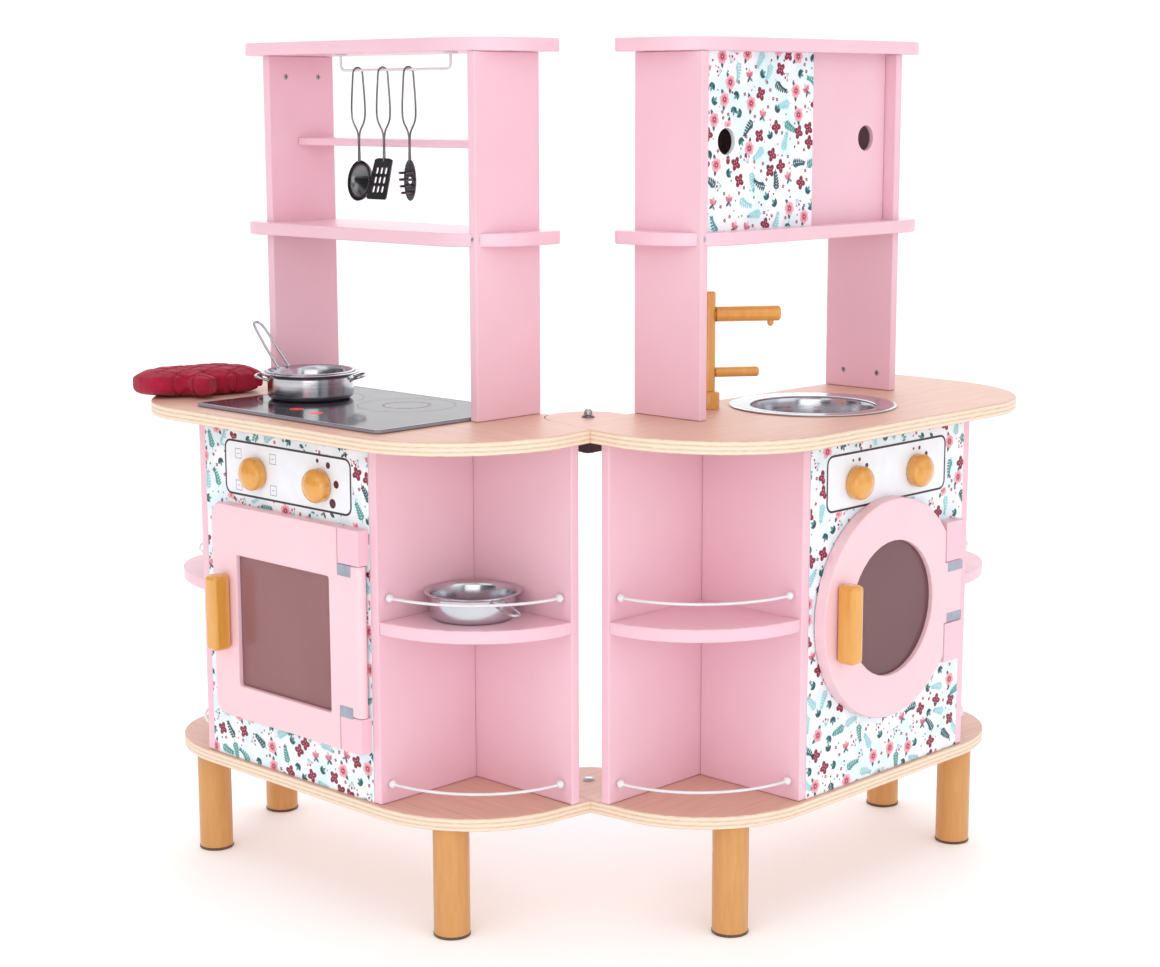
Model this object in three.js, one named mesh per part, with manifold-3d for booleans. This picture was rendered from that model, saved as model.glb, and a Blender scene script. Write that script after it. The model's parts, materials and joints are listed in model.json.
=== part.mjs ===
// Corner toy kitchen: a cooker unit and a sink unit, hinged together behind the inner corner.
// Units are millimetres and +Z is up. Each unit is modelled in its own frame, which starts at the
// corner pivot: x runs along the unit away from the pivot, y runs towards the unit's front.
import * as THREE from "three";
import { mergeVertices } from "three/addons/utils/BufferGeometryUtils.js";
import { RoundedBoxGeometry } from "three/addons/geometries/RoundedBoxGeometry.js";
import Module from "manifold-3d";

// ---- sheet materials and gaps ----
const PLY = 15; // plywood boards
const MDF = 12; // painted panels and posts
const THIN_MDF = 9; // small shelf
const HARDBOARD = 3; // back of the cupboard
const SEAT = 0.3; // gap left between pieces that are screwed or glued together
const RUN = 0.8; // gap round a piece that moves
const EDGE = 1.2; // rounding of board edges

// ---- heights ----
const LEG_H = 130;
const WORKTOP_Z = 560; // underside of the worktop
const MID_SHELF_Z = 771; // underside of the hutch's middle shelf
const TOP_BOARD_Z = 985; // underside of the top board
const CORNER_SHELF_Z = 343;
const SMALL_SHELF_Z = 878;

// ---- plan of one unit ----
const SIDE_IN_X = 104; // outer face of the side nearer the pivot
const SIDE_OUT_X = 427; // outer face of the far side
const FRONT_Y = 231; // front of the sides and of the front panel
const BACK_BOARD_Y = 70.5;
const BACK_BOARD_X0 = -53;
const BACK_BOARD_X1 = 540;
const BACK_EDGE_Y = 14; // back edge of worktop and bottom board
const KNUCKLE_R = 50;
const TOP_NOTCH = 68; // the two worktops meet at (-68, 68)
const BOTTOM_NOTCH = 55;
const CORNER_R = 12;
const SHELF_SETBACK = 10; // of the outer shelf behind the curve of the bottom board
const WORKTOP_IN = { x: 75, y: 115, rx: 148, ry: 165 };
const WORKTOP_OUT = { x: 412, y: 104, rx: 150, ry: 176 };
const BOTTOM_IN = { x: 100, y: 90, rx: 150, ry: 146 };
const BOTTOM_OUT = { x: 420, y: 130, rx: 132, ry: 106 };

// ---- legs ----
const LEG_R = 20.8;
const LEGS = { outer_front: [468, 194], outer_back: [527, 42], inner_front: [32, 191] };

// ---- hutch ----
const POST_IN_X = 60;
const POST_OUT_X = 420;
const POST_Y0 = 16;
const POST_DEPTH = 100;
const HUTCH_BOARD = { x0: 33, x1: 476, y0: 5, y1: 131, innerR: 80, outerR: 46, backR: 10 };
const SMALL_SHELF_Y0 = 16;
const SMALL_SHELF_DEPTH = 58;

// ---- doors ----
const LEAF = 15; // thickness of the oven and washer doors
const LEAF_GAP = 1;
const PIN_R = 3;
const HINGE_INSET = 7.5; // pin axis from the rounded hinge edge
const OVEN_DOOR = { x0: 117.5, x1: 386, z0: 204, z1: 462, r: 16 };
const OVEN_BLOCK_H = 41;
const HINGE_BLOCK_W = 36;
const OVEN_WINDOW = { x0: 170, x1: 340, z0: 244, z1: 403, r: 3 };
const OVEN_MOUTH = { x0: 162, x1: 366, z0: 222, z1: 444, r: 10 };
const WASHER_X = 255;
const WASHER_Z = 348;
const WASHER_R = 130;
const WASHER_WINDOW_R = 80;
const WASHER_MOUTH_R = 104;
const WASHER_TAB = 22; // half height of the washer door's hinge tab
const WASHER_TAB_X1 = 398;
const WASHER_SPACER_H = 16;
const WASHER_BLOCK_H = 48;
const PANE = 2.4;
const PANE_INSET = 6.6; // from the back of the door to the pane
const REBATE = 6;
const HANDLE = { w: 21, d: 25, h: 92 };
const OVEN_HANDLE_X = 361;
const WASHER_HANDLE_X = 156;

// ---- knobs ----
const KNOB_X = [199, 316];
const KNOB_Z = 502;
const KNOB_R = 19.5;
const KNOB_D = 20;
const SHAFT_R = 4;

// ---- sliding doors of the sink hutch ----
const SLIDER = { w: 193, thickness: 6, pitch: 10, frontY: 110, holeR: 15, holeInset: 37 };
const GROOVE_DEPTH = 4;

// ---- hob, sink, tap ----
const HOB = { x0: 75, x1: 404, y0: 22, y1: 252, r: 8, h: 4 };
const SINK = { x: 253, y: 126, rimR: 99, bowlR: 74, depth: 48, wall: 1.2, rimH: 2 };
const TAP = { gap: 14.5, turn: 0.6357, baseR: 14.5, baseH: 20, columnR: 9, topZ: 137 };
const SPOUT = { r: 9, z: 110, reach: 86, nozzleR: 4 };
const LEVER = { r: 6, z: 42, reach: 61 };

// ---- pots ----
const POT = { x: 336, y: 131, bodyR: 51.5, rimR: 59, h: 33, wall: 1.2 };
const SKILLET = { bodyR: 48, rimR: 53, h: 22, wall: 1.2 };
const SKILLET_HANDLE = { rise: 52, reach: 48, half: 9, turn: 0.03 * Math.PI };
const SHELF_PAN_HANDLE = { rise: -8, reach: 38, half: 8, turn: 0.95 * Math.PI };
const SHELF_PAN = { x: 47, y: 139, bodyR: 48.5, rimR: 55.4, h: 31, wall: 1.2 };
const WIRE_R = 1.6;

// ---- utensil rail ----
const RAIL = { x0: 124, x1: 314, y: 92, drop: 18.5, r: 1.6, discR: 8 };
const UTENSIL_X = { ladle: 284, spatula: 239.5, pasta_server: 195 };
const UTENSIL_WIRE_R = 1.1;
const UTENSIL_LOOP = 8; // half width of the hanging loop
const SHAFT_END_Z = -106; // where the head starts, below the rail
const HEAD_H = 47;

// ---- mitt ----
const MITT = { x: 499, y: 180, long: 176, palm: 52, wrist: 36, thick: 34, turn: 1.25 };

// ---- pivot ----
const BOLT_R = 4;
const BOLT_HEAD_R = 8;
const BOLT_HEAD_H = 3;
const PIVOT_BLOCK = 58;
const PIVOT_BLOCK_H = 20;

const BOARD_TOP = LEG_H + PLY;
const WORKTOP_TOP = WORKTOP_Z + PLY;
const HUTCH_BOARD_TOP = MID_SHELF_Z + PLY;
const LEAF_Y = FRONT_Y + LEAF_GAP;

const wasm = await Module();
wasm.setup();

// ---- materials ----
const paint = (color, roughness = 0.5, metalness = 0) =>
  new THREE.MeshStandardMaterial({ color, roughness, metalness });
const PINK = () => paint(0xf3c3cf);
const WOOD = () => paint(0xdcb896, 0.6);
const OCHRE = () => paint(0xd9a04c, 0.45);
const PRINT = () => paint(0xf2f6f7, 0.5);
const STEEL = () => paint(0xc9ccd0, 0.25, 1);
const WHITE_WIRE = () => paint(0xf3f3f1, 0.4);
const GLASS = () => paint(0x8c7a76, 0.15);
const BLACK_GLASS = () => paint(0x3c3f45, 0.2);
const CRIMSON = () => paint(0xb3123f, 0.9);

// ---- geometry helpers ----

// The closed solid of a geometry, for joining and cutting.
function solid(geometry) {
  const bare = new THREE.BufferGeometry();
  bare.setAttribute("position", geometry.getAttribute("position").clone());
  if (geometry.index) bare.setIndex(geometry.index.clone());
  const merged = mergeVertices(bare, 1e-4);
  const mesh = new wasm.Mesh({
    numProp: 3,
    vertProperties: new Float32Array(merged.getAttribute("position").array),
    triVerts: new Uint32Array(merged.index.array),
  });
  return new wasm.Manifold(mesh);
}

function geometryOf(body) {
  const mesh = body.getMesh();
  const geometry = new THREE.BufferGeometry();
  geometry.setAttribute("position", new THREE.BufferAttribute(mesh.vertProperties, 3));
  geometry.setIndex(new THREE.BufferAttribute(mesh.triVerts, 1));
  geometry.computeVertexNormals();
  return geometry;
}

function cut(base, ...tools) {
  return geometryOf(tools.reduce((body, tool) => body.subtract(solid(tool)), solid(base)));
}

function join(base, ...others) {
  return geometryOf(others.reduce((body, other) => body.add(solid(other)), solid(base)));
}

function common(a, b) {
  return geometryOf(solid(a).intersect(solid(b)));
}

// A flat board: an outline in x and y, from z0 up, with its edges slightly rounded.
function board(shape, z0, height, round = EDGE) {
  const geometry = new THREE.ExtrudeGeometry(shape, {
    depth: height - 2 * round,
    bevelEnabled: round > 0,
    bevelThickness: round,
    bevelSize: round,
    bevelOffset: -round,
    bevelSegments: 1,
  });
  return geometry.translate(0, 0, z0 + round);
}

// An upright panel: an outline in x and z, from y0 to y0 + thickness.
function upright(shape, y0, thickness, round = EDGE) {
  return board(shape, 0, thickness, round)
    .rotateX(Math.PI / 2)
    .translate(0, y0 + thickness, 0);
}

// A box with slightly rounded edges between two corners.
function box(x0, x1, y0, y1, z0, z1, radius = EDGE) {
  return new RoundedBoxGeometry(x1 - x0, y1 - y0, z1 - z0, 1, radius).translate(
    (x0 + x1) / 2,
    (y0 + y1) / 2,
    (z0 + z1) / 2,
  );
}

function plainBox(x0, x1, y0, y1, z0, z1) {
  return new THREE.BoxGeometry(x1 - x0, y1 - y0, z1 - z0).translate(
    (x0 + x1) / 2,
    (y0 + y1) / 2,
    (z0 + z1) / 2,
  );
}

// Adds an arc to an outline as straight steps; angles are in quarter turns.
function sweep(outline, x, y, rx, ry, from, to, steps) {
  for (let i = 0; i <= steps; i += 1) {
    const angle = ((from + ((to - from) * i) / steps) * Math.PI) / 2;
    outline.push(new THREE.Vector2(x + rx * Math.cos(angle), y + ry * Math.sin(angle)));
  }
  return outline;
}

function roundedRect(x0, x1, y0, y1, radius, steps = 4) {
  const outline = [];
  sweep(outline, x1 - radius, y0 + radius, radius, radius, -1, 0, steps);
  sweep(outline, x1 - radius, y1 - radius, radius, radius, 0, 1, steps);
  sweep(outline, x0 + radius, y1 - radius, radius, radius, 1, 2, steps);
  sweep(outline, x0 + radius, y0 + radius, radius, radius, 2, 3, steps);
  return new THREE.Shape(outline);
}

function oval(x, y, rx, ry, steps) {
  return new THREE.Shape(sweep([], x, y, rx, ry, 0, 4, steps).slice(1));
}

function disc(x, y, radius, steps = 32) {
  return oval(x, y, radius, radius, steps);
}

// An upright round bar or hole tool.
function rod(radius, z0, z1, segments = 24) {
  return new THREE.CylinderGeometry(radius, radius, z1 - z0, segments)
    .rotateX(Math.PI / 2)
    .translate(0, 0, (z0 + z1) / 2);
}

// A turned piece about the z axis, from radius and height pairs.
function turned(points, segments = 24) {
  const profile = points.map(([r, h]) => new THREE.Vector2(r, h));
  return new THREE.LatheGeometry(profile, segments).rotateX(Math.PI / 2);
}

// A round wire along a curve.
function wire(curve, radius, steps, sides = 6) {
  const options = { extrudePath: curve, steps, bevelEnabled: false };
  return new THREE.ExtrudeGeometry(disc(0, 0, radius, sides), options);
}

function smooth(...points) {
  const route = points.map((p) => new THREE.Vector3(...p));
  return new THREE.CatmullRomCurve3(route, false, "catmullrom", 0.5);
}

// ---- board outlines ----

// The tip of the tongue: where the straight end edge leaves the round knuckle, and its direction.
function tongue(notch, clearance = 0) {
  const reach = Math.hypot(notch, notch);
  const angle = 0.75 * Math.PI + Math.acos(KNUCKLE_R / reach);
  const out = new THREE.Vector2(Math.cos(angle), Math.sin(angle));
  const leave = out.clone().multiplyScalar(KNUCKLE_R + clearance);
  const tip = new THREE.Vector2(-notch, notch).addScaledVector(out, clearance);
  return { angle, leave, tip, along: tip.clone().sub(leave).normalize() };
}

function unitOutline(notch, inner, outer) {
  const { angle, tip } = tongue(notch);
  const quarter = Math.PI / 2;
  const start = Math.asin(BACK_EDGE_Y / KNUCKLE_R) / quarter;
  const cornerX = outer.x + outer.rx - CORNER_R;
  const outline = sweep([], 0, 0, KNUCKLE_R, KNUCKLE_R, start, angle / quarter - 4, 24);
  outline.push(tip);
  sweep(outline, inner.x, inner.y, inner.rx, inner.ry, 2, 1, 28);
  sweep(outline, outer.x, outer.y, outer.rx, outer.ry, 1, 0, 28);
  sweep(outline, cornerX, BACK_EDGE_Y + CORNER_R, CORNER_R, CORNER_R, 0, -1, 5);
  return new THREE.Shape(outline);
}

// The room that the other unit's tongue needs, in this unit's frame: the other unit is this one
// mirrored about the plane between them, which swaps (x, y) for (-y, -x).
function tongueRoom(notch, z0, z1) {
  const { leave, tip, along } = tongue(notch, SEAT);
  const past = tip.clone().addScaledVector(along, 6);
  const wedge = [leave, past, new THREE.Vector2(0, notch + 10)];
  wedge.push(new THREE.Vector2(KNUCKLE_R, KNUCKLE_R), new THREE.Vector2(0, 0));
  const shape = new THREE.Shape(wedge.map((p) => new THREE.Vector2(-p.y, -p.x)));
  const options = { depth: z1 - z0, bevelEnabled: false };
  const edge = new THREE.ExtrudeGeometry(shape, options).translate(0, 0, z0);
  return join(rod(KNUCKLE_R + 2 * SEAT, z0, z1, 36), edge);
}

// A worktop or bottom board: half its thickness is cut away where the other unit's tongue lies.
function lappedBoard(notch, inner, outer, z0, tongueLow) {
  const middle = z0 + PLY / 2;
  const full = board(unitOutline(notch, inner, outer), z0, PLY);
  const room = tongueLow
    ? tongueRoom(notch, middle - SEAT / 2, z0 + PLY + 5)
    : tongueRoom(notch, z0 - 5, middle + SEAT / 2);
  return cut(full, room, rod(BOLT_R + SEAT, z0 - 5, z0 + PLY + 5));
}

// Quarter-round shelves beside the cabinet, with curves like the bottom board's.
function innerShelfOutline() {
  const gap = SIDE_IN_X - SEAT;
  const back = BACK_BOARD_Y + MDF + SEAT;
  const rx = gap - BACK_BOARD_X0 - 1;
  const outline = [new THREE.Vector2(gap, back)];
  return new THREE.Shape(sweep(outline, gap, back, rx, BOTTOM_IN.ry, 1, 2, 24));
}

function outerShelfOutline() {
  const gap = SIDE_OUT_X + SEAT;
  const back = BACK_BOARD_Y + MDF + SEAT;
  const { x, y, rx } = BOTTOM_OUT;
  const ry = BOTTOM_OUT.ry - SHELF_SETBACK;
  const atSide = Math.acos((gap - x) / rx) / (Math.PI / 2);
  const outline = [new THREE.Vector2(gap, back), new THREE.Vector2(BACK_BOARD_X1, back)];
  return new THREE.Shape(sweep(outline, x, y, rx, ry, 0, atSide, 24));
}

function hutchOutline() {
  const { x0, x1, y0, y1, innerR, outerR, backR } = HUTCH_BOARD;
  const outline = [];
  sweep(outline, x1 - backR, y0 + backR, backR, backR, -1, 0, 4);
  sweep(outline, x1 - outerR, y1 - outerR, outerR, outerR, 0, 1, 9);
  sweep(outline, x0 + innerR, y1 - innerR, innerR, innerR, 1, 2, 12);
  sweep(outline, x0 + backR, y0 + backR, backR, backR, 2, 3, 4);
  return new THREE.Shape(outline);
}

// ---- the units ----

const kitchen = new THREE.Group();

function makeUnit(turn, mirrored) {
  const group = new THREE.Group();
  group.rotation.z = turn;
  kitchen.add(group);
  return { group, mirrored };
}

// The sink unit is the cooker unit's mirror image, so its pieces are mirrored across its length.
function mirror(geometry) {
  const flat = geometry.index ? geometry.toNonIndexed() : geometry.clone();
  flat.scale(1, -1, 1);
  const position = flat.getAttribute("position");
  const a = new THREE.Vector3();
  const b = new THREE.Vector3();
  for (let i = 0; i < position.count; i += 3) {
    a.fromBufferAttribute(position, i + 1);
    b.fromBufferAttribute(position, i + 2);
    position.setXYZ(i + 1, b.x, b.y, b.z);
    position.setXYZ(i + 2, a.x, a.y, a.z);
  }
  flat.computeVertexNormals();
  return flat;
}

function add(unit, name, geometry, material, [x, y, z] = [0, 0, 0]) {
  const mesh = new THREE.Mesh(unit.mirrored ? mirror(geometry) : geometry, material);
  mesh.name = name;
  mesh.position.set(x, unit.mirrored ? -y : y, z);
  unit.group.add(mesh);
  return mesh;
}

const cooker = makeUnit(0.75 * Math.PI, false);
const sink = makeUnit(0.25 * Math.PI, true);

// ---- carcass, the same in both units ----

function leg() {
  const top = LEG_H - SEAT;
  const chamfer = 1.5;
  return turned([[0, 0], [LEG_R - chamfer, 0], [LEG_R, chamfer], [LEG_R, top], [0, top]]);
}

function carcass(unit, name, tongueLow, backCuts) {
  const worktop = lappedBoard(TOP_NOTCH, WORKTOP_IN, WORKTOP_OUT, WORKTOP_Z, tongueLow);
  const bottom = lappedBoard(BOTTOM_NOTCH, BOTTOM_IN, BOTTOM_OUT, LEG_H, tongueLow);
  const z0 = BOARD_TOP + SEAT;
  const z1 = WORKTOP_Z - SEAT;
  const boardFront = BACK_BOARD_Y + MDF;
  add(unit, `${name}_bottom_board`, bottom, WOOD());
  const back = box(BACK_BOARD_X0, BACK_BOARD_X1, BACK_BOARD_Y, boardFront, z0, z1);
  add(unit, `${name}_back_board`, cut(back, ...backCuts), PINK());
  const sideY0 = boardFront + SEAT;
  const inner = box(SIDE_IN_X, SIDE_IN_X + MDF, sideY0, FRONT_Y, z0, z1);
  const outer = box(SIDE_OUT_X - MDF, SIDE_OUT_X, sideY0, FRONT_Y, z0, z1);
  add(unit, `${name}_inner_side`, inner, PINK());
  add(unit, `${name}_outer_side`, outer, PINK());
  const innerShelf = board(innerShelfOutline(), CORNER_SHELF_Z, PLY);
  const outerShelf = board(outerShelfOutline(), CORNER_SHELF_Z, PLY);
  add(unit, `${name}_inner_shelf`, innerShelf, PINK());
  add(unit, `${name}_outer_shelf`, outerShelf, PINK());
  for (const [place, [x, y]] of Object.entries(LEGS)) {
    add(unit, `${name}_leg_${place}`, leg(), OCHRE(), [x, y, 0]);
  }
  return worktop;
}

function post(x) {
  const y1 = POST_Y0 + POST_DEPTH;
  return box(x, x + MDF, POST_Y0, y1, WORKTOP_TOP + SEAT, TOP_BOARD_Z - SEAT);
}

// The middle shelf slides down over both posts, through a slot for each.
function postSlot(x) {
  const y1 = POST_Y0 + POST_DEPTH + SEAT;
  const z1 = HUTCH_BOARD_TOP + 5;
  return plainBox(x - SEAT, x + MDF + SEAT, POST_Y0 - SEAT, y1, MID_SHELF_Z - 5, z1);
}

function hutch(unit, name, midCuts, topCuts) {
  const middle = board(hutchOutline(), MID_SHELF_Z, PLY);
  const top = board(hutchOutline(), TOP_BOARD_Z, PLY);
  const slots = [postSlot(POST_IN_X), postSlot(POST_OUT_X)];
  add(unit, `${name}_inner_post`, post(POST_IN_X), PINK());
  add(unit, `${name}_outer_post`, post(POST_OUT_X), PINK());
  add(unit, `${name}_middle_shelf`, cut(middle, ...slots, ...midCuts), PINK());
  add(unit, `${name}_top_board`, topCuts.length ? cut(top, ...topCuts) : top, PINK());
}

// ---- front panels with their hinge blocks and pins ----

function frontPanel(mouth) {
  const x0 = SIDE_IN_X + MDF + SEAT;
  const x1 = SIDE_OUT_X - MDF - SEAT;
  const shape = roundedRect(x0, x1, BOARD_TOP + SEAT, WORKTOP_Z - SEAT, 0.5);
  shape.holes.push(mouth);
  for (const x of KNOB_X) shape.holes.push(disc(x, KNOB_Z, SHAFT_R + SEAT, 16));
  return upright(shape, FRONT_Y - MDF, MDF, 0);
}

function hingeBlock(x0, z0, height) {
  const sunk = 1;
  const y1 = LEAF_Y + LEAF;
  return box(x0, x0 + HINGE_BLOCK_W, FRONT_Y - sunk, y1, z0, z0 + height, 0.8);
}

function hingedPanel(mouth, blockX, axisX, z0, z1, blockH) {
  const pin = rod(PIN_R, z0 + 2, z1 - 2).translate(axisX, LEAF_Y + LEAF / 2, 0);
  const low = hingeBlock(blockX, z0, blockH);
  const high = hingeBlock(blockX, z1 - blockH, blockH);
  return join(frontPanel(mouth), low, high, pin);
}

// A door leaf from its outline: rounded about the pin at its hinge edge, bored for the pin.
function leaf(shape, axisX, outward, z0, z1) {
  const half = LEAF / 2;
  const far = axisX + outward * 320;
  const y = LEAF_Y + half;
  const plan = sweep([], axisX, y, half, half, outward, outward + 2, 10);
  plan.push(new THREE.Vector2(far, y - outward * half), new THREE.Vector2(far, y + outward * half));
  const envelope = board(new THREE.Shape(plan), z0 - 5, z1 - z0 + 10, 0);
  const slab = upright(shape, LEAF_Y, LEAF, 1);
  const bore = rod(PIN_R + SEAT, z0 - 5, z1 + 5).translate(axisX, LEAF_Y + half, 0);
  return cut(common(slab, envelope), bore);
}

function ovenFront() {
  const { x0, z0, z1 } = OVEN_DOOR;
  const m = OVEN_MOUTH;
  const mouth = roundedRect(m.x0, m.x1, m.z0, m.z1, m.r);
  const axisX = x0 + HINGE_INSET;
  return hingedPanel(mouth, x0, axisX, z0, z1, OVEN_BLOCK_H);
}

function ovenDoor() {
  const { x0, x1, z0, z1, r } = OVEN_DOOR;
  const leafX = x0 + HINGE_BLOCK_W + RUN + 0.7;
  const tab0 = z0 + OVEN_BLOCK_H + RUN;
  const tab1 = z1 - OVEN_BLOCK_H - RUN;
  const outline = [new THREE.Vector2(leafX, z0)];
  sweep(outline, x1 - r, z0 + r, r, r, -1, 0, 6);
  sweep(outline, x1 - r, z1 - r, r, r, 0, 1, 6);
  outline.push(new THREE.Vector2(leafX, z1), new THREE.Vector2(leafX, tab1));
  outline.push(new THREE.Vector2(x0, tab1), new THREE.Vector2(x0, tab0));
  outline.push(new THREE.Vector2(leafX, tab0));
  const shape = new THREE.Shape(outline);
  const w = OVEN_WINDOW;
  shape.holes.push(roundedRect(w.x0, w.x1, w.z0, w.z1, w.r));
  const body = leaf(shape, x0 + HINGE_INSET, 1, z0, z1);
  const seat = roundedRect(w.x0 - REBATE, w.x1 + REBATE, w.z0 - REBATE, w.z1 + REBATE, w.r);
  return cut(body, upright(seat, LEAF_Y - 3, 3 + PANE_INSET + PANE + SEAT, 0));
}

function ovenPane() {
  const w = OVEN_WINDOW;
  const grow = REBATE - SEAT;
  const shape = roundedRect(w.x0 - grow, w.x1 + grow, w.z0 - grow, w.z1 + grow, w.r);
  return upright(shape, LEAF_Y + PANE_INSET, PANE, 0);
}

function washerAxisX() {
  return WASHER_TAB_X1 - HINGE_INSET;
}

function washerFront() {
  const mouth = disc(WASHER_X, WASHER_Z, WASHER_MOUTH_R, 40);
  const half = WASHER_TAB + WASHER_SPACER_H + WASHER_BLOCK_H;
  const blockX = WASHER_TAB_X1 - HINGE_BLOCK_W;
  const low = WASHER_Z - half;
  const high = WASHER_Z + half;
  return hingedPanel(mouth, blockX, washerAxisX(), low, high, WASHER_BLOCK_H);
}

function washerDoor() {
  const leafX = WASHER_TAB_X1 - HINGE_BLOCK_W - RUN - 0.7;
  const tab = WASHER_TAB + WASHER_SPACER_H - RUN;
  const edge = Math.acos((leafX - WASHER_X) / WASHER_R) / (Math.PI / 2);
  const outline = sweep([], WASHER_X, WASHER_Z, WASHER_R, WASHER_R, edge, 4 - edge, 40);
  outline.push(new THREE.Vector2(leafX, WASHER_Z - tab));
  outline.push(new THREE.Vector2(WASHER_TAB_X1, WASHER_Z - tab));
  outline.push(new THREE.Vector2(WASHER_TAB_X1, WASHER_Z + tab));
  outline.push(new THREE.Vector2(leafX, WASHER_Z + tab));
  const shape = new THREE.Shape(outline);
  shape.holes.push(disc(WASHER_X, WASHER_Z, WASHER_WINDOW_R, 40));
  const body = leaf(shape, washerAxisX(), -1, WASHER_Z - WASHER_R, WASHER_Z + WASHER_R);
  const seat = disc(WASHER_X, WASHER_Z, WASHER_WINDOW_R + REBATE, 40);
  return cut(body, upright(seat, LEAF_Y - 3, 3 + PANE_INSET + PANE + SEAT, 0));
}

function washerPane() {
  const shape = disc(WASHER_X, WASHER_Z, WASHER_WINDOW_R + REBATE - 2 * SEAT, 40);
  return upright(shape, LEAF_Y + PANE_INSET, PANE, 0);
}

function doorHandle() {
  const { w, d, h } = HANDLE;
  return new RoundedBoxGeometry(w, d, h, 2, 6).translate(0, d / 2, 0);
}

// A knob with its shaft; it turns about the y axis, and y = 0 is the panel's front.
function knob() {
  const shaft = -MDF - 6;
  const waist = KNOB_D * 0.45;
  const profile = [[0, shaft], [SHAFT_R, shaft], [SHAFT_R, SEAT * 2], [KNOB_R - 2, SEAT * 2]];
  profile.push([KNOB_R, 2.5], [KNOB_R, waist]);
  const steps = 6;
  for (let i = 1; i < steps; i += 1) {
    const a = (i / steps) * (Math.PI / 2);
    profile.push([KNOB_R * Math.cos(a), waist + (KNOB_D - waist) * Math.sin(a)]);
  }
  profile.push([0, KNOB_D]);
  return turned(profile, 20).rotateX(-Math.PI / 2);
}

// ---- pans and bowls ----

// A thin-walled pan: a rounded bottom, an upright wall and a flat rolled rim.
function pan({ bodyR, rimR, h, wall }, segments = 30) {
  const bend = 6;
  const outside = [[0, 0], [bodyR - bend, 0], [bodyR - bend * 0.3, bend * 0.3], [bodyR, bend]];
  outside.push([bodyR, h - wall - 2], [rimR, h - wall], [rimR, h]);
  const inside = [[bodyR - wall, h - 2], [bodyR - wall, bend], [bodyR - bend, wall], [0, wall]];
  return turned([...outside, ...inside], segments);
}

function loopHandle(radius, z, turn) {
  const half = 15;
  const reach = 17;
  const x = Math.sqrt((radius - 0.5) ** 2 - half ** 2);
  const curve = smooth([x, -half, z - 4], [x + reach * 0.8, -half, z], [x + reach, 0, z],
    [x + reach * 0.8, half, z], [x, half, z - 4]);
  return wire(curve, WIRE_R, 10).rotateZ(turn);
}

function pot() {
  const z = POT.h - 6;
  const left = loopHandle(POT.bodyR, z, 0.25 * Math.PI);
  const right = loopHandle(POT.bodyR, z, 1.25 * Math.PI);
  return join(pan(POT), left, right);
}

// A long wire handle: two legs leave the wall below the rim and meet in a round end.
function longHandle(radius, z, { rise, reach, half, turn }) {
  const x = Math.sqrt((radius - 0.5) ** 2 - half ** 2);
  const curve = smooth([x, -half, z], [x + reach * 0.5, -half * 0.95, z + rise * 0.5],
    [x + reach * 0.9, -half * 0.7, z + rise * 0.92], [x + reach, 0, z + rise],
    [x + reach * 0.9, half * 0.7, z + rise * 0.92], [x + reach * 0.5, half * 0.95, z + rise * 0.5],
    [x, half, z]);
  return wire(curve, WIRE_R, 18).rotateZ(turn);
}

function skillet() {
  return join(pan(SKILLET), longHandle(SKILLET.bodyR - 1.5, SKILLET.h - 1, SKILLET_HANDLE));
}

function shelfPan() {
  const { bodyR, h } = SHELF_PAN;
  return join(pan(SHELF_PAN), longHandle(bodyR, h - 6, SHELF_PAN_HANDLE));
}

function sinkBowl() {
  const { rimR, bowlR, depth, wall, rimH } = SINK;
  const bend = 22;
  const outside = [[0, -depth], [bowlR - bend, -depth], [bowlR - bend * 0.3, -depth + bend * 0.3]];
  outside.push([bowlR, -depth + bend], [bowlR, 0], [rimR, 0], [rimR, rimH - 0.8], [rimR - 1, rimH]);
  const inside = [[bowlR + 2, rimH], [bowlR - wall, rimH - 3], [bowlR - wall, -depth + bend]];
  inside.push([bowlR - wall - bend * 0.3, -depth + bend * 0.3 + wall]);
  inside.push([bowlR - bend, -depth + wall], [0, -depth + wall]);
  return turned([...outside, ...inside], 36);
}

// ---- utensils: a wire hairpin hangs over the rail at the piece's origin ----

function hairpin() {
  const top = RAIL.r + SEAT + UTENSIL_WIRE_R;
  const w = UTENSIL_LOOP;
  const joinZ = SHAFT_END_Z * 0.66;
  const curve = smooth([0, -1, SHAFT_END_Z], [0, -1.2, joinZ - 4], [0, -w - 2, joinZ + 17],
    [0, -w, -12], [0, -w * 0.75, top - 3.5], [0, 0, top], [0, w * 0.75, top - 3.5],
    [0, w, -12], [0, w + 2, joinZ + 17], [0, 1.2, joinZ - 4], [0, 1, SHAFT_END_Z]);
  return wire(curve, UTENSIL_WIRE_R, 28);
}

function ladle() {
  const stretch = 1.15;
  const r = HEAD_H / 2 / stretch;
  const wall = 1.2;
  const depth = 11;
  const bowl = turned([[0, -depth], [r * 0.6, -depth * 0.8], [r, 0], [r, wall],
    [r - wall, wall], [r * 0.6 - 0.4, -depth * 0.8 + wall], [0, -depth + wall]], 20);
  bowl.scale(1, stretch, 1).rotateX(-0.46 * Math.PI);
  bowl.translate(0, 0, SHAFT_END_Z - HEAD_H / 2 + 1.5);
  return join(hairpin(), bowl);
}

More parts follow.
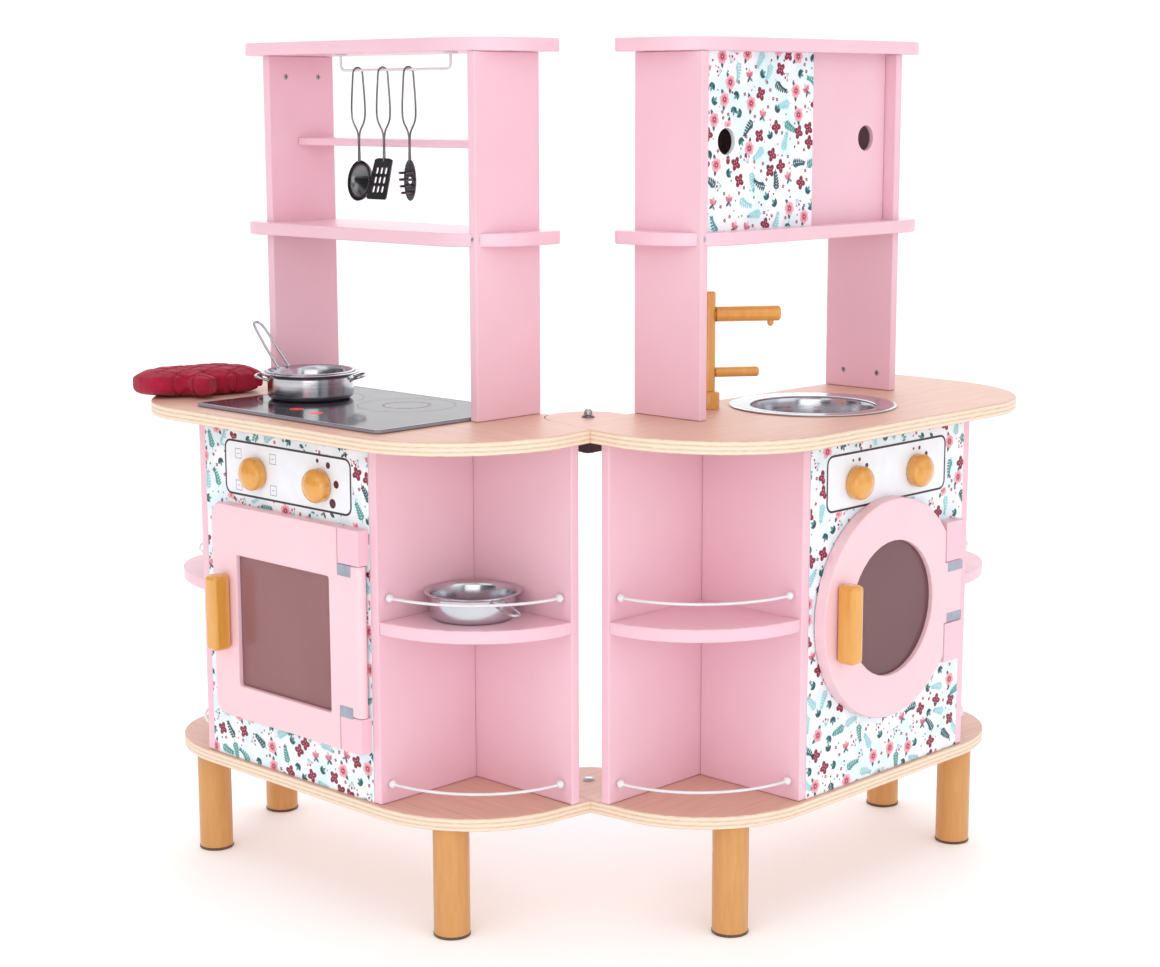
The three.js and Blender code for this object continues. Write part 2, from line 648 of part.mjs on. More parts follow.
function spatula() {
  const w = 17;
  const shape = new THREE.Shape();
  shape.moveTo(-w * 0.9, 0);
  shape.lineTo(-w, -HEAD_H);
  shape.lineTo(w, -HEAD_H);
  shape.lineTo(w * 0.9, 0);
  for (let row = 0; row < 3; row += 1) {
    for (let column = -1; column <= 1; column += 1) {
      const x = column * 7.6;
      const z = -13 - row * 11;
      shape.holes.push(roundedRect(x - 2, x + 2, z - 4, z + 4, 1.5, 1));
    }
  }
  const blade = upright(shape, -0.7, 1.4, 0);
  blade.rotateX(0.28).translate(0, 0.5, SHAFT_END_Z + 3);
  return join(hairpin(), blade);
}

function pastaServer() {
  const shape = oval(0, -HEAD_H / 2, 10, HEAD_H / 2, 20);
  shape.holes.push(disc(0, -HEAD_H / 2, 4, 10));
  const pieces = [upright(shape, -0.7, 1.4, 0)];
  for (const side of [-1, 1]) {
    for (let i = 0; i < 4; i += 1) {
      const prong = rod(1.5, 0, 11, 6).rotateX(-Math.PI / 2);
      pieces.push(prong.translate(side * (7 - i * i * 0.4), 0, -15 - i * 7.6));
    }
  }
  const head = join(...pieces).translate(0, 0, SHAFT_END_Z + 4);
  return join(hairpin(), head);
}

function utensilRail() {
  const { x0, x1, drop, r, discR } = RAIL;
  const bend = 6;
  const curve = new THREE.CurvePath();
  const point = (x, z) => new THREE.Vector3(x, 0, z);
  curve.add(new THREE.LineCurve3(point(x0, drop), point(x0, bend)));
  curve.add(new THREE.QuadraticBezierCurve3(point(x0, bend), point(x0, 0), point(x0 + bend, 0)));
  curve.add(new THREE.LineCurve3(point(x0 + bend, 0), point(x1 - bend, 0)));
  curve.add(new THREE.QuadraticBezierCurve3(point(x1 - bend, 0), point(x1, 0), point(x1, bend)));
  curve.add(new THREE.LineCurve3(point(x1, bend), point(x1, drop)));
  const plates = [x0, x1].map((x) => rod(discR, drop - 2, drop - SEAT, 16).translate(x, 0, 0));
  return join(wire(curve, r, 44), ...plates);
}

// ---- tap: base, turning column with its spout, and a turning lever ----

// The tap stands a fixed gap off the sink's rim and points at the sink's middle.
const tapAway = SINK.rimR + TAP.gap + TAP.baseR;
const tapX = SINK.x - tapAway * Math.cos(TAP.turn);
const tapY = SINK.y - tapAway * Math.sin(TAP.turn);

function tapBase() {
  const { baseR, baseH, columnR } = TAP;
  const bore = columnR * 0.7 + 0.2;
  return turned([[bore, 0], [baseR, 0], [baseR, baseH - 3], [baseR - 3, baseH],
    [bore, baseH], [bore, 0]]);
}

function tapPost() {
  const { columnR, baseH, topZ } = TAP;
  const spigot = columnR * 0.7;
  const z = baseH + SEAT;
  const body = turned([[0, SEAT], [spigot, SEAT], [spigot, z], [columnR, z],
    [columnR, topZ - 2], [columnR - 2, topZ], [0, topZ]], 20);
  const leverHole = rod(LEVER.r * 0.6 + SEAT, 0, 30).rotateY(Math.PI / 2).translate(1, 0, LEVER.z);
  return cut(body, leverHole);
}

// A round arm along +x with a thinner peg that enters the column.
function arm(radius, reach, pegStart) {
  const shoulder = TAP.columnR + SEAT;
  const peg = radius * 0.6;
  return turned([[0, pegStart], [peg, pegStart], [peg, shoulder], [radius, shoulder],
    [radius, reach - 1.5], [radius - 1.5, reach], [0, reach]], 18).rotateY(Math.PI / 2);
}

// The column and its spout are glued together.
function tapColumn() {
  const nozzle = new THREE.SphereGeometry(SPOUT.nozzleR, 12, 8);
  nozzle.scale(1, 1, 1.2).translate(SPOUT.reach - 11, 0, -SPOUT.r - 1.5);
  const spout = arm(SPOUT.r, SPOUT.reach, 0);
  return join(tapPost(), ...[spout, nozzle].map((piece) => piece.translate(0, 0, SPOUT.z)));
}

// ---- cooker unit ----

const cookerWorktop = carcass(cooker, "cooker", true, []);
add(cooker, "cooker_worktop", cookerWorktop, WOOD());
hutch(cooker, "cooker", [], []);
add(cooker, "cooker_front_panel", ovenFront(), PRINT());
const shelfX0 = POST_IN_X + MDF + SEAT;
const smallShelf = box(shelfX0, POST_OUT_X - SEAT, SMALL_SHELF_Y0,
  SMALL_SHELF_Y0 + SMALL_SHELF_DEPTH, SMALL_SHELF_Z, SMALL_SHELF_Z + THIN_MDF);
add(cooker, "cooker_small_shelf", smallShelf, PINK());
add(cooker, "oven_door", ovenDoor(), PINK());
add(cooker, "oven_window", ovenPane(), GLASS());
const handleY = LEAF_Y + LEAF + SEAT;
const ovenMidZ = (OVEN_DOOR.z0 + OVEN_DOOR.z1) / 2;
add(cooker, "oven_handle", doorHandle(), OCHRE(), [OVEN_HANDLE_X, handleY, ovenMidZ]);
const hobPlate = board(roundedRect(HOB.x0, HOB.x1, HOB.y0, HOB.y1, HOB.r), 0, HOB.h, 0.8);
add(cooker, "hob", hobPlate, BLACK_GLASS(), [0, 0, WORKTOP_TOP + SEAT]);
const hobTop = WORKTOP_TOP + HOB.h + 2 * SEAT;
add(cooker, "pot", pot(), STEEL(), [POT.x, POT.y, hobTop]);
// The skillet hangs in the pot by its rim.
const skilletZ = hobTop + POT.h + SEAT - (SKILLET.h - SKILLET.wall);
add(cooker, "skillet", skillet(), STEEL(), [POT.x, POT.y, skilletZ]);
const panZ = CORNER_SHELF_Z + PLY + SEAT;
add(cooker, "shelf_pan", shelfPan(), STEEL(), [SHELF_PAN.x, SHELF_PAN.y, panZ]);
const railZ = TOP_BOARD_Z - RAIL.drop;
add(cooker, "utensil_rail", utensilRail(), WHITE_WIRE(), [0, RAIL.y, railZ]);
const utensils = { ladle, spatula, pasta_server: pastaServer };
for (const [name, make] of Object.entries(utensils)) {
  add(cooker, name, make(), STEEL(), [UTENSIL_X[name], RAIL.y, railZ]);
}

// The mitt lies flat on the worktop: a rounded hand with a thumb.
function mitt() {
  const { long, palm, wrist, thick } = MITT;
  const heel = -long * 0.2;
  const outline = [new THREE.Vector2(-long / 2, -wrist), new THREE.Vector2(heel, -palm)];
  sweep(outline, long / 2 - palm, 0, palm, palm, -1, 1, 12);
  sweep(outline, long * 0.05, palm, long * 0.14, palm * 0.6, 0, 2, 8);
  outline.push(new THREE.Vector2(heel, palm), new THREE.Vector2(-long / 2, wrist));
  return board(new THREE.Shape(outline), 0, thick, thick * 0.3).rotateZ(MITT.turn);
}
add(cooker, "oven_mitt", mitt(), CRIMSON(), [MITT.x, MITT.y, WORKTOP_TOP + SEAT]);

// ---- sink unit ----

// The back board has a notch that the bowl hangs in.
const bowlNotch = plainBox(SINK.x - SINK.bowlR - 3, SINK.x + SINK.bowlR + 3, 0, FRONT_Y,
  WORKTOP_TOP - SINK.depth - 5, WORKTOP_TOP);
const sinkWorktop = carcass(sink, "sink", false, [bowlNotch]);
const bowlHole = rod(SINK.bowlR + 2 * SEAT, WORKTOP_Z - 5, WORKTOP_TOP + 5, 36);
add(sink, "sink_worktop", cut(sinkWorktop, bowlHole.translate(SINK.x, SINK.y, 0)), WOOD());
add(sink, "sink_front_panel", washerFront(), PRINT());
add(sink, "washer_door", washerDoor(), PINK());
add(sink, "washer_window", washerPane(), GLASS());
add(sink, "washer_handle", doorHandle(), OCHRE(), [WASHER_HANDLE_X, handleY, WASHER_Z]);
add(sink, "sink_bowl", sinkBowl(), STEEL(), [SINK.x, SINK.y, WORKTOP_TOP + SEAT]);

const trackX0 = POST_IN_X + MDF;
const trackX1 = POST_OUT_X;
const trackY = [SLIDER.frontY, SLIDER.frontY - SLIDER.pitch];
const grooves = (z0, z1) =>
  trackY.map((y) => plainBox(trackX0, trackX1, y - SLIDER.thickness - RUN / 2, y + RUN / 2, z0, z1));
hutch(sink, "sink", grooves(HUTCH_BOARD_TOP - GROOVE_DEPTH, HUTCH_BOARD_TOP + 5),
  grooves(TOP_BOARD_Z - 5, TOP_BOARD_Z + GROOVE_DEPTH));

function slidingDoor(x0, holeX, y1) {
  const z0 = HUTCH_BOARD_TOP - GROOVE_DEPTH + SEAT;
  const z1 = TOP_BOARD_Z + GROOVE_DEPTH - RUN;
  const shape = roundedRect(x0, x0 + SLIDER.w, z0, z1, 2);
  shape.holes.push(disc(holeX, (HUTCH_BOARD_TOP + TOP_BOARD_Z) / 2, SLIDER.holeR, 24));
  return upright(shape, y1 - SLIDER.thickness, SLIDER.thickness, 0.5);
}
const printX0 = trackX0 + RUN;
const plainX0 = trackX1 - RUN - SLIDER.w;
const plainHoleX = plainX0 + SLIDER.w - SLIDER.holeInset;
add(sink, "sliding_door_print", slidingDoor(printX0, printX0 + SLIDER.holeInset, trackY[0]), PRINT());
add(sink, "sliding_door_plain", slidingDoor(plainX0, plainHoleX, trackY[1]), PINK());

const cupboardBack = box(trackX0 + SEAT, trackX1 - SEAT, POST_Y0, POST_Y0 + HARDBOARD,
  HUTCH_BOARD_TOP + SEAT, TOP_BOARD_Z - SEAT, 0.5);
add(sink, "cupboard_back", cupboardBack, PINK());

const tapZ = WORKTOP_TOP + SEAT;
add(sink, "tap_base", tapBase(), OCHRE(), [tapX, tapY, tapZ]);
const lever = arm(LEVER.r, LEVER.reach, 1 + SEAT).rotateZ(TAP.turn);
add(sink, "tap_column", tapColumn().rotateZ(TAP.turn), OCHRE(), [tapX, tapY, tapZ]);
add(sink, "tap_lever", lever, OCHRE(), [tapX, tapY, tapZ + LEVER.z]);

// ---- knobs on both units ----

for (const [unit, name] of [[cooker, "oven"], [sink, "washer"]]) {
  for (const [side, x] of [["inner", KNOB_X[0]], ["outer", KNOB_X[1]]]) {
    add(unit, `${name}_knob_${side}`, knob(), OCHRE(), [x, FRONT_Y, KNOB_Z]);
  }
}

// ---- pivot: a bolt through each pair of tongues, and a block under the worktops ----

function pivotBolt(grip) {
  const nutR = BOLT_HEAD_R - 1;
  const nutH = 5;
  const foot = -grip - SEAT - nutH;
  return turned([[0, foot], [nutR, foot], [nutR, foot + nutH], [BOLT_R, foot + nutH],
    [BOLT_R, SEAT], [BOLT_HEAD_R, SEAT], [BOLT_HEAD_R * 0.8, SEAT + BOLT_HEAD_H * 0.7],
    [BOLT_HEAD_R * 0.4, SEAT + BOLT_HEAD_H], [0, SEAT + BOLT_HEAD_H]], 16);
}

const half = PIVOT_BLOCK / 2;
const blockTop = WORKTOP_Z - SEAT;
const block = box(-half, half, -half, half, blockTop - PIVOT_BLOCK_H, blockTop);
const blockBore = rod(BOLT_R + SEAT, WORKTOP_Z - 40, WORKTOP_Z);
add(cooker, "pivot_block", cut(block, blockBore), WOOD());
const upperGrip = PLY + PIVOT_BLOCK_H + SEAT;
add(cooker, "pivot_bolt_upper", pivotBolt(upperGrip), STEEL(), [0, 0, WORKTOP_TOP]);
add(cooker, "pivot_bolt_lower", pivotBolt(PLY), STEEL(), [0, 0, BOARD_TOP]);

// ---- the origin is at the bottom centre of the whole kitchen ----

kitchen.updateMatrixWorld(true);
const bounds = new THREE.Box3().setFromObject(kitchen, true);
const centre = bounds.getCenter(new THREE.Vector3());
kitchen.position.set(-centre.x, -centre.y, -bounds.min.z);
kitchen.updateMatrixWorld(true);

export default kitchen;
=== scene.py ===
import json
import math
import random

import bpy
import bmesh
from mathutils import Matrix, Vector, noise
from mathutils.geometry import tessellate_polygon


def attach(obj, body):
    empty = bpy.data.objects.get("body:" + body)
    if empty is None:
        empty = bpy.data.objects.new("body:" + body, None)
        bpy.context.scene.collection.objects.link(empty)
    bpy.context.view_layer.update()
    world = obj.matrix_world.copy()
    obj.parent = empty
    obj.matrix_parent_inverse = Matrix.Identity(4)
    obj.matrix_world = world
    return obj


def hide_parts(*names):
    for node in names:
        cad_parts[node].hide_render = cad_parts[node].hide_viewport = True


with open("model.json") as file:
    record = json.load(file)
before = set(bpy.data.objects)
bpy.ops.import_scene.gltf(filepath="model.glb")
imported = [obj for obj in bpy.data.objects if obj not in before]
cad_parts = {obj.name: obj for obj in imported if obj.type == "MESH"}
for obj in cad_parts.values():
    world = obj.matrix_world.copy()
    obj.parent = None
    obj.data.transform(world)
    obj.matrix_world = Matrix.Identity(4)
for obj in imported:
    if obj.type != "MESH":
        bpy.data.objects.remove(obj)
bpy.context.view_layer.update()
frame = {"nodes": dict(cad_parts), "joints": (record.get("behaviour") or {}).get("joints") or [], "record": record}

# Local coordinates of each unit are millimetres from the corner pivot: x along the unit,
# y towards its front, z up.
NODES = frame["nodes"]
RECORD = frame["record"]
PIVOT = Vector(next(j["pos_m"] for j in frame["joints"] if j["name"] == "module_pivot"))
D = math.sqrt(0.5)


class Unit:
    def __init__(self, body, e, n, mirrored):
        self.body = body
        self.e = Vector(e)
        self.n = Vector(n)
        self.mirrored = mirrored

    def at(self, x, y, z):
        flat = PIVOT + (self.e * x + self.n * y) / 1000
        return Vector((flat.x, flat.y, z / 1000))


COOKER = Unit("cooker_module", (-D, D, 0), (-D, -D, 0), False)
SINK = Unit("sink_module", (D, D, 0), (D, -D, 0), True)

# sizes that repeat the frame's, in millimetres
FRONT_Y = 231
LEAF_FRONT = 247
WORKTOP_TOP = 575
BOARD_TOP = 145
SHELF_TOP = 358
HUTCH_TOP = 786
TOP_BOARD = 985
RAIL_Z = 966.5
HOB_TOP = 579.6
POT_AT = (336, 131)


# ---------------------------------------------------------------- materials

def linear(code):
    channels = [int(code[i:i + 2], 16) / 255 for i in (1, 3, 5)]
    return [c / 12.92 if c <= 0.04045 else ((c + 0.055) / 1.055) ** 2.4 for c in channels] + [1]


class Shader:
    """A node material that is built from its Principled BSDF backwards."""

    def __init__(self, name, roughness=0.5, metallic=0.0, **sockets):
        self.material = bpy.data.materials.new(name)
        self.material.use_nodes = True
        self.tree = self.material.node_tree
        self.bsdf = self.tree.nodes["Principled BSDF"]
        self.set(Roughness=roughness, Metallic=metallic, **sockets)

    def set(self, **values):
        for key, value in values.items():
            self.join(value, self.bsdf.inputs[key.replace("_", " ")])

    def join(self, value, socket):
        if isinstance(value, bpy.types.NodeSocket):
            self.tree.links.new(value, socket)
        else:
            socket.default_value = value

    def add(self, kind, inputs=(), out=0, **props):
        made = self.tree.nodes.new("ShaderNode" + kind)
        for key, value in props.items():
            setattr(made, key, value)
        for key, value in dict(inputs).items():
            self.join(value, made.inputs[key])
        return made.outputs[out]

    def coords(self, unit=None, scale=(1, 1, 1)):
        """Object coordinates in metres; with a unit, turned so that x runs along that unit."""
        here = self.add("TexCoord", out=3)
        if unit is None and scale == (1, 1, 1):
            return here
        turn = 0.0 if unit is None else -math.atan2(unit.e.y, unit.e.x)
        straight = self.add("Mapping", {"Vector": here, "Rotation": (0, 0, turn)})
        return self.add("Mapping", {"Vector": straight, "Scale": scale})

    def noise(self, vector, scale, detail=3.0, roughness=0.5):
        sockets = {"Vector": vector, "Scale": scale, "Detail": detail, "Roughness": roughness}
        return self.add("TexNoise", sockets)

    def ramp(self, value, stops):
        socket = self.add("ValToRGB", {"Fac": value})
        ramp = socket.node.color_ramp
        while len(ramp.elements) < len(stops):
            ramp.elements.new(0.5)
        for element, (place, color) in zip(ramp.elements, stops):
            element.position = place
            element.color = linear(color) if isinstance(color, str) else [color] * 3 + [1]
        return socket

    def math(self, operation, a, b=0.0, clamp=False):
        return self.add("Math", {0: a, 1: b}, operation=operation, use_clamp=clamp)

    def mix(self, fac, a, b, blend="MIX"):
        node = self.tree.nodes.new("ShaderNodeMix")
        node.data_type = "RGBA"
        node.blend_type = blend
        self.join(fac, node.inputs[0])
        self.join(linear(a) if isinstance(a, str) else a, node.inputs[6])
        self.join(linear(b) if isinstance(b, str) else b, node.inputs[7])
        return node.outputs[2]

    def bump(self, height, strength, distance):
        sockets = {"Height": height, "Strength": strength, "Distance": distance}
        self.set(Normal=self.add("Bump", sockets))


def lacquer(name, light, deep, roughness=0.36):
    """Sprayed lacquer on board: a faint mottle and a fine orange-peel surface."""
    s = Shader(name, roughness, Coat_Weight=0.2, Coat_Roughness=0.3)
    here = s.coords()
    mottle = s.noise(here, 7.0, 4.0)
    s.set(Base_Color=s.ramp(mottle, [(0.3, deep), (0.7, light)]))
    peel = s.noise(here, 420.0, 2.0)
    s.bump(peel, 0.10, 0.0004)
    gloss = s.noise(here, 30.0, 3.0)
    s.set(Roughness=s.ramp(gloss, [(0.25, roughness - 0.05), (0.75, roughness + 0.07)]))
    return s.material


def plywood(name, unit, face_light, face_deep):
    """Veneer with its grain along the unit on the faces, and the plies' layers on the edges."""
    s = Shader(name, 0.45, Coat_Weight=0.15, Coat_Roughness=0.35)
    grain_at = s.coords(unit, (2.2, 34.0, 6.0))
    long_grain = s.noise(grain_at, 6.0, 6.0, 0.6)
    fine = s.noise(s.coords(unit, (6.0, 260.0, 40.0)), 3.0, 3.0)
    both = s.math("ADD", s.math("MULTIPLY", long_grain, 0.7), s.math("MULTIPLY", fine, 0.3))
    face = s.ramp(both, [(0.34, face_deep), (0.62, face_light)])
    here = s.coords()
    split = s.add("SeparateXYZ", {0: here}, out=2)
    wobble = s.math("MULTIPLY", s.noise(here, 14.0, 2.0), 0.0007)
    height = s.math("MULTIPLY", s.math("ADD", split, wobble), 1000 / 5.0)
    layer = s.math("PINGPONG", height, 0.5)
    edge_noise = s.noise(s.coords(unit, (30.0, 30.0, 500.0)), 4.0, 3.0)
    layered = s.math("ADD", s.math("MULTIPLY", layer, 0.9), s.math("MULTIPLY", edge_noise, 0.7))
    edge = s.ramp(layered, [(0.3, "#cfae90"), (0.5, "#e6cdb4"), (0.8, "#efdcc6")])
    normal_z = s.add("SeparateXYZ", {0: s.add("NewGeometry", out=1)}, out=2)
    upright = s.math("LESS_THAN", s.math("ABSOLUTE", normal_z), 0.6)
    s.set(Base_Color=s.mix(upright, face, edge))
    s.bump(both, 0.12, 0.0004)
    return s.material


def stained_wood(name, light, deep, roughness=0.26, coat=0.8):
    """Solid wood under an even coloured stain and clear gloss, with a faint grain left in it."""
    s = Shader(name, roughness, Coat_Weight=coat, Coat_Roughness=0.12)
    grain = s.noise(s.coords(None, (40.0, 40.0, 5.0)), 4.0, 5.0, 0.6)
    s.set(Base_Color=s.ramp(grain, [(0.3, deep), (0.7, light)]))
    s.bump(s.noise(s.coords(None, (120.0, 120.0, 14.0)), 5.0, 3.0), 0.08, 0.0004)
    return s.material


def ink(name, color, deep):
    """Printed colour on a satin white board."""
    s = Shader(name, 0.42)
    here = s.coords()
    s.set(Base_Color=s.ramp(s.noise(here, 160.0, 3.0), [(0.3, deep), (0.7, color)]))
    s.bump(s.noise(here, 500.0, 2.0), 0.06, 0.0003)
    return s.material


def ember():
    """The red of the hob's printed lamp marks, given a painted glow by emission; the print itself gives no light.
    """
    s = Shader("ink_painted_glow", 0.4, Emission_Strength=0.7)
    glow = s.ramp(s.noise(s.coords(), 160.0, 3.0), [(0.3, "#e02015"), (0.7, "#f2382a")])
    s.set(Base_Color=glow, Emission_Color=glow)
    return s.material


def printed_ground(name, unit=None, node=None):
    """The white ground of the print, washed with pale aqua; what stands proud of it is pink."""
    s = Shader(name, 0.4, Coat_Weight=0.2, Coat_Roughness=0.3)
    here = s.coords()
    wash = s.noise(here, 28.0, 3.0)
    ground = s.ramp(wash, [(0.42, "#f3f5f8"), (0.62, "#dcedf2")])
    if unit:
        there = NODES[node].matrix_world
        toward = there.to_3x3().inverted() @ unit.n
        limit = (FRONT_Y + 0.3) / 1000 + unit.n.dot(PIVOT - there.translation)
        ahead = s.add("VectorMath", {0: here, 1: toward}, out=1, operation="DOT_PRODUCT")
        block = s.math("GREATER_THAN", ahead, limit)
        mottle = s.ramp(s.noise(here, 7.0, 4.0), [(0.3, PINK_DEEP), (0.7, PINK_LIGHT)])
        ground = s.mix(block, ground, mottle)
    s.set(Base_Color=ground)
    s.bump(s.noise(here, 400.0, 2.0), 0.06, 0.0003)
    return s.material


def steel(name, color, roughness, lines=(8.0, 8.0, 900.0), strength=0.12):
    """Spun or drawn steel: fine lines in roughness and bump, and cloudy variation."""
    s = Shader(name, roughness, 1.0)
    drawn = s.noise(s.coords(None, lines), 1.0, 3.0)
    cloud = s.noise(s.coords(), 40.0, 3.0)
    s.set(Base_Color=s.mix(s.math("MULTIPLY", cloud, 0.4), color, "#d9dadd"))
    s.set(Roughness=s.ramp(drawn, [(0.3, roughness * 0.7), (0.7, min(1.0, roughness * 1.5))]))
    s.bump(drawn, strength, 0.0002)
    return s.material


def enamel(name, color, deep, roughness=0.3):
    s = Shader(name, roughness, Coat_Weight=0.4, Coat_Roughness=0.15)
    here = s.coords()
    s.set(Base_Color=s.ramp(s.noise(here, 60.0, 3.0), [(0.3, deep), (0.7, color)]))
    s.bump(s.noise(here, 700.0, 2.0), 0.05, 0.0002)
    return s.material


def tinted_pane(name, color, deep, alpha):
    s = Shader(name, 0.12, Alpha=alpha, Coat_Weight=0.3, Coat_Roughness=0.1)
    here = s.coords()
    s.set(Base_Color=s.ramp(s.noise(here, 5.0, 2.0), [(0.3, deep), (0.7, color)]))
    s.bump(s.noise(here, 12.0, 2.0), 0.02, 0.0004)
    return s.material


def hob_plate():
    """Black printed glass with a steel-grey border and fine speckle."""
    s = Shader("hob_plate", 0.09, Specular_IOR_Level=0.25, Coat_Weight=0.12, Coat_Roughness=0.05)
    here = s.coords()
    speckle = s.noise(here, 900.0, 2.0)
    top = s.ramp(speckle, [(0.35, "#2e2c33"), (0.75, "#4a474f")])
    normal_z = s.add("SeparateXYZ", {0: s.add("NewGeometry", out=1)}, out=2)
    side = s.math("LESS_THAN", s.math("ABSOLUTE", normal_z), 0.7)
    s.set(Base_Color=s.mix(side, top, "#8f8d96"))
    s.set(Roughness=s.ramp(s.noise(here, 20.0, 3.0), [(0.3, 0.07), (0.7, 0.16)]))
    return s.material


def cotton(name, light, deep):
    """Woven cotton: two crossed thread waves, soft sheen and slightly faded high spots."""
    s = Shader(name, 0.9, Sheen_Weight=0.12, Sheen_Roughness=0.4)
    here = s.coords()
    waves = []
    for axis in ("X", "Y"):
        sockets = {"Vector": here, "Scale": 520.0, "Distortion": 1.2, "Detail": 2.0}
        waves.append(s.add("TexWave", sockets, out=1, bands_direction=axis))
    weave = s.math("MAXIMUM", *waves)
    fade = s.noise(here, 45.0, 4.0)
    s.set(Base_Color=s.ramp(s.math("ADD", s.math("MULTIPLY", weave, 0.35),
                                   s.math("MULTIPLY", fade, 0.65)), [(0.25, deep), (0.75, light)]))
    s.bump(weave, 0.5, 0.0005)
    return s.material


PINK_LIGHT, PINK_DEEP = "#eec4d1", "#eabdcb"
PINK = lacquer("pink_lacquer", PINK_LIGHT, PINK_DEEP)
PALE_PINK = lacquer("door_lacquer", "#f2ccd4", "#efc6cf")
PLY = {u: plywood("plywood_" + u.body, u, "#dcb49f", "#cf9f8b") for u in (COOKER, SINK)}
OCHRE = stained_wood("ochre_wood", "#e2a244", "#d8963a")
LEG_WOOD = stained_wood("leg_wood", "#d39a58", "#c98d4c", 0.42, 0.3)
GROUND = printed_ground("print_ground")
STEEL = steel("thin_steel", "#c2c3c8", 0.16)
WIRE_STEEL = steel("wire_steel", "#4c4a4d", 0.2, (300.0, 300.0, 300.0), 0.05)
DARK_STEEL = steel("dark_steel", "#3c3a3d", 0.16)
BOLT = steel("bolt_steel", "#aeb0b4", 0.28, (200.0, 200.0, 200.0), 0.1)
WHITE = enamel("white_enamel", "#e6e6e8", "#dcdcdf")
GREY_PLATE = enamel("grey_plate", "#9fa5b3", "#8f95a4", 0.45)
OVEN_PANE = tinted_pane("oven_pane", "#b98081", "#a87174", 0.42)
# The washer's pane is the same brown acrylic as the oven's, darkened and made more opaque as painted shade of the
# dark cavity behind it.
SHADED_WASHER_PANE = tinted_pane("washer_pane_painted_shade", "#84565b", "#774b50", 0.6)
HOB = hob_plate()
CRIMSON_CLOTH = cotton("crimson_cotton", "#b00a38", "#8a0428")
# Near-black that stands in for shade: painted shade on the pivot block under the worktop and in the screw heads'
# cross recesses.
PAINTED_SHADE = enamel("painted_recess_shade", "#3b3336", "#2c2528", 0.5)
RUBBER = enamel("foot_rubber", "#6b4a32", "#55381f", 0.7)
PANEL_WHITE = enamel("panel_white", "#f0f4f8", "#e9eef4", 0.35)
INKS = {
    "crimson": ink("ink_crimson", "#8c1a3b", "#7c1432"),
    "wine": ink("ink_wine", "#5c1530", "#4e1028"),
    "rose": ink("ink_rose", "#e38197", "#db7189"),
    "blush": ink("ink_blush", "#f3b4bd", "#efa6b1"),
    "teal": ink("ink_teal", "#2f5f66", "#265158"),
    "sea": ink("ink_sea", "#58a39d", "#4a938f"),
    "aqua": ink("ink_aqua", "#a5d8db", "#96cdd2"),
    "line": ink("ink_line", "#3a2430", "#301c28"),
    "ember": ember(),
    "ash": ink("ink_ash", "#79727a", "#6b646d"),
    "faint": ink("ink_faint", "#7c5660", "#6f4c56"),
}


# ---------------------------------------------------------------- mesh helpers

def merge(*parts):
    verts, faces = [], []
    for v, f in parts:
        base = len(verts)
        verts += list(v)
        faces += [tuple(i + base for i in face) for face in f]
    return verts, faces


def moved(part, matrix):
    return [tuple(matrix @ Vector(v)) for v in part[0]], part[1]


def shifted(part, x, y, z):
    return moved(part, Matrix.Translation((x, y, z)))


def piece(name, body, unit, part, materials, ids=None, smooth=40):
    """A mesh object from millimetres in a unit's frame, riding on a body."""
    verts, faces = part
    if unit.mirrored:
        faces = [tuple(reversed(f)) for f in faces]
    mesh = bpy.data.meshes.new(name)
    mesh.from_pydata([unit.at(*v) for v in verts], [], faces)
    for material in materials if isinstance(materials, (list, tuple)) else [materials]:
        mesh.materials.append(material)
    if ids:
        mesh.polygons.foreach_set("material_index", ids)
    mesh.validate()
    obj = bpy.data.objects.new(name, mesh)
    bpy.context.collection.objects.link(obj)
    if smooth:
        mesh.polygons.foreach_set("use_smooth", [True] * len(mesh.polygons))
        mesh.set_sharp_from_angle(angle=math.radians(smooth))
    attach(obj, body)
    return obj


def lathe(profile, segments=64):
    """A turned form about z. The profile runs from the axis, or ends where it starts."""
    closed = profile[0] == profile[-1]
    points = profile[:-1] if closed else profile
    verts, faces, rings = [], [], []
    for r, z in points:
        if r < 1e-6:
            rings.append([len(verts)])
            verts.append((0, 0, z))
            continue
        rings.append(list(range(len(verts), len(verts) + segments)))
        for i in range(segments):
            a = 2 * math.pi * i / segments
            verts.append((r * math.cos(a), r * math.sin(a), z))
    pairs = list(zip(rings, rings[1:] + (rings[:1] if closed else [])))
    for low, high in pairs[:len(rings) if closed else len(rings) - 1]:
        for i in range(segments):
            j = (i + 1) % segments
            if len(low) == 1 and len(high) == 1:
                continue
            if len(low) == 1:
                faces.append((low[0], high[j], high[i]))
            elif len(high) == 1:
                faces.append((low[i], low[j], high[0]))
            else:
                faces.append((low[i], low[j], high[j], high[i]))
    return verts, faces


def tube(points, radius, sides=12, closed=False):
    """A round rod along points, with rounded ends."""
    route = [Vector(p) for p in points]
    count = len(route)
    verts, faces = [], []
    side = None
    for i, p in enumerate(route):
        after = route[(i + 1) % count] if closed or i < count - 1 else p
        before = route[i - 1] if closed or i else p
        along = (after - before).normalized()
        if side is None:
            side = along.orthogonal().normalized()
        side = (side - along * side.dot(along)).normalized()
        other = along.cross(side)
        for k in range(sides):
            a = 2 * math.pi * k / sides
            verts.append(tuple(p + (side * math.cos(a) + other * math.sin(a)) * radius))
    last = count if closed else count - 1
    for i in range(last):
        for k in range(sides):
            a, b = i * sides, ((i + 1) % count) * sides
            j = (k + 1) % sides
            faces.append((a + k, a + j, b + j, b + k))
    if not closed:
        for start, tip, out in ((0, route[0], route[0] - route[1]),
                                ((count - 1) * sides, route[-1], route[-1] - route[-2])):
            verts.append(tuple(tip + out.normalized() * radius * 0.5))
            for k in range(sides):
                j = (k + 1) % sides
                ends = (start + j, start + k) if start == 0 else (start + k, start + j)
                faces.append((*ends, len(verts) - 1))
    return verts, faces


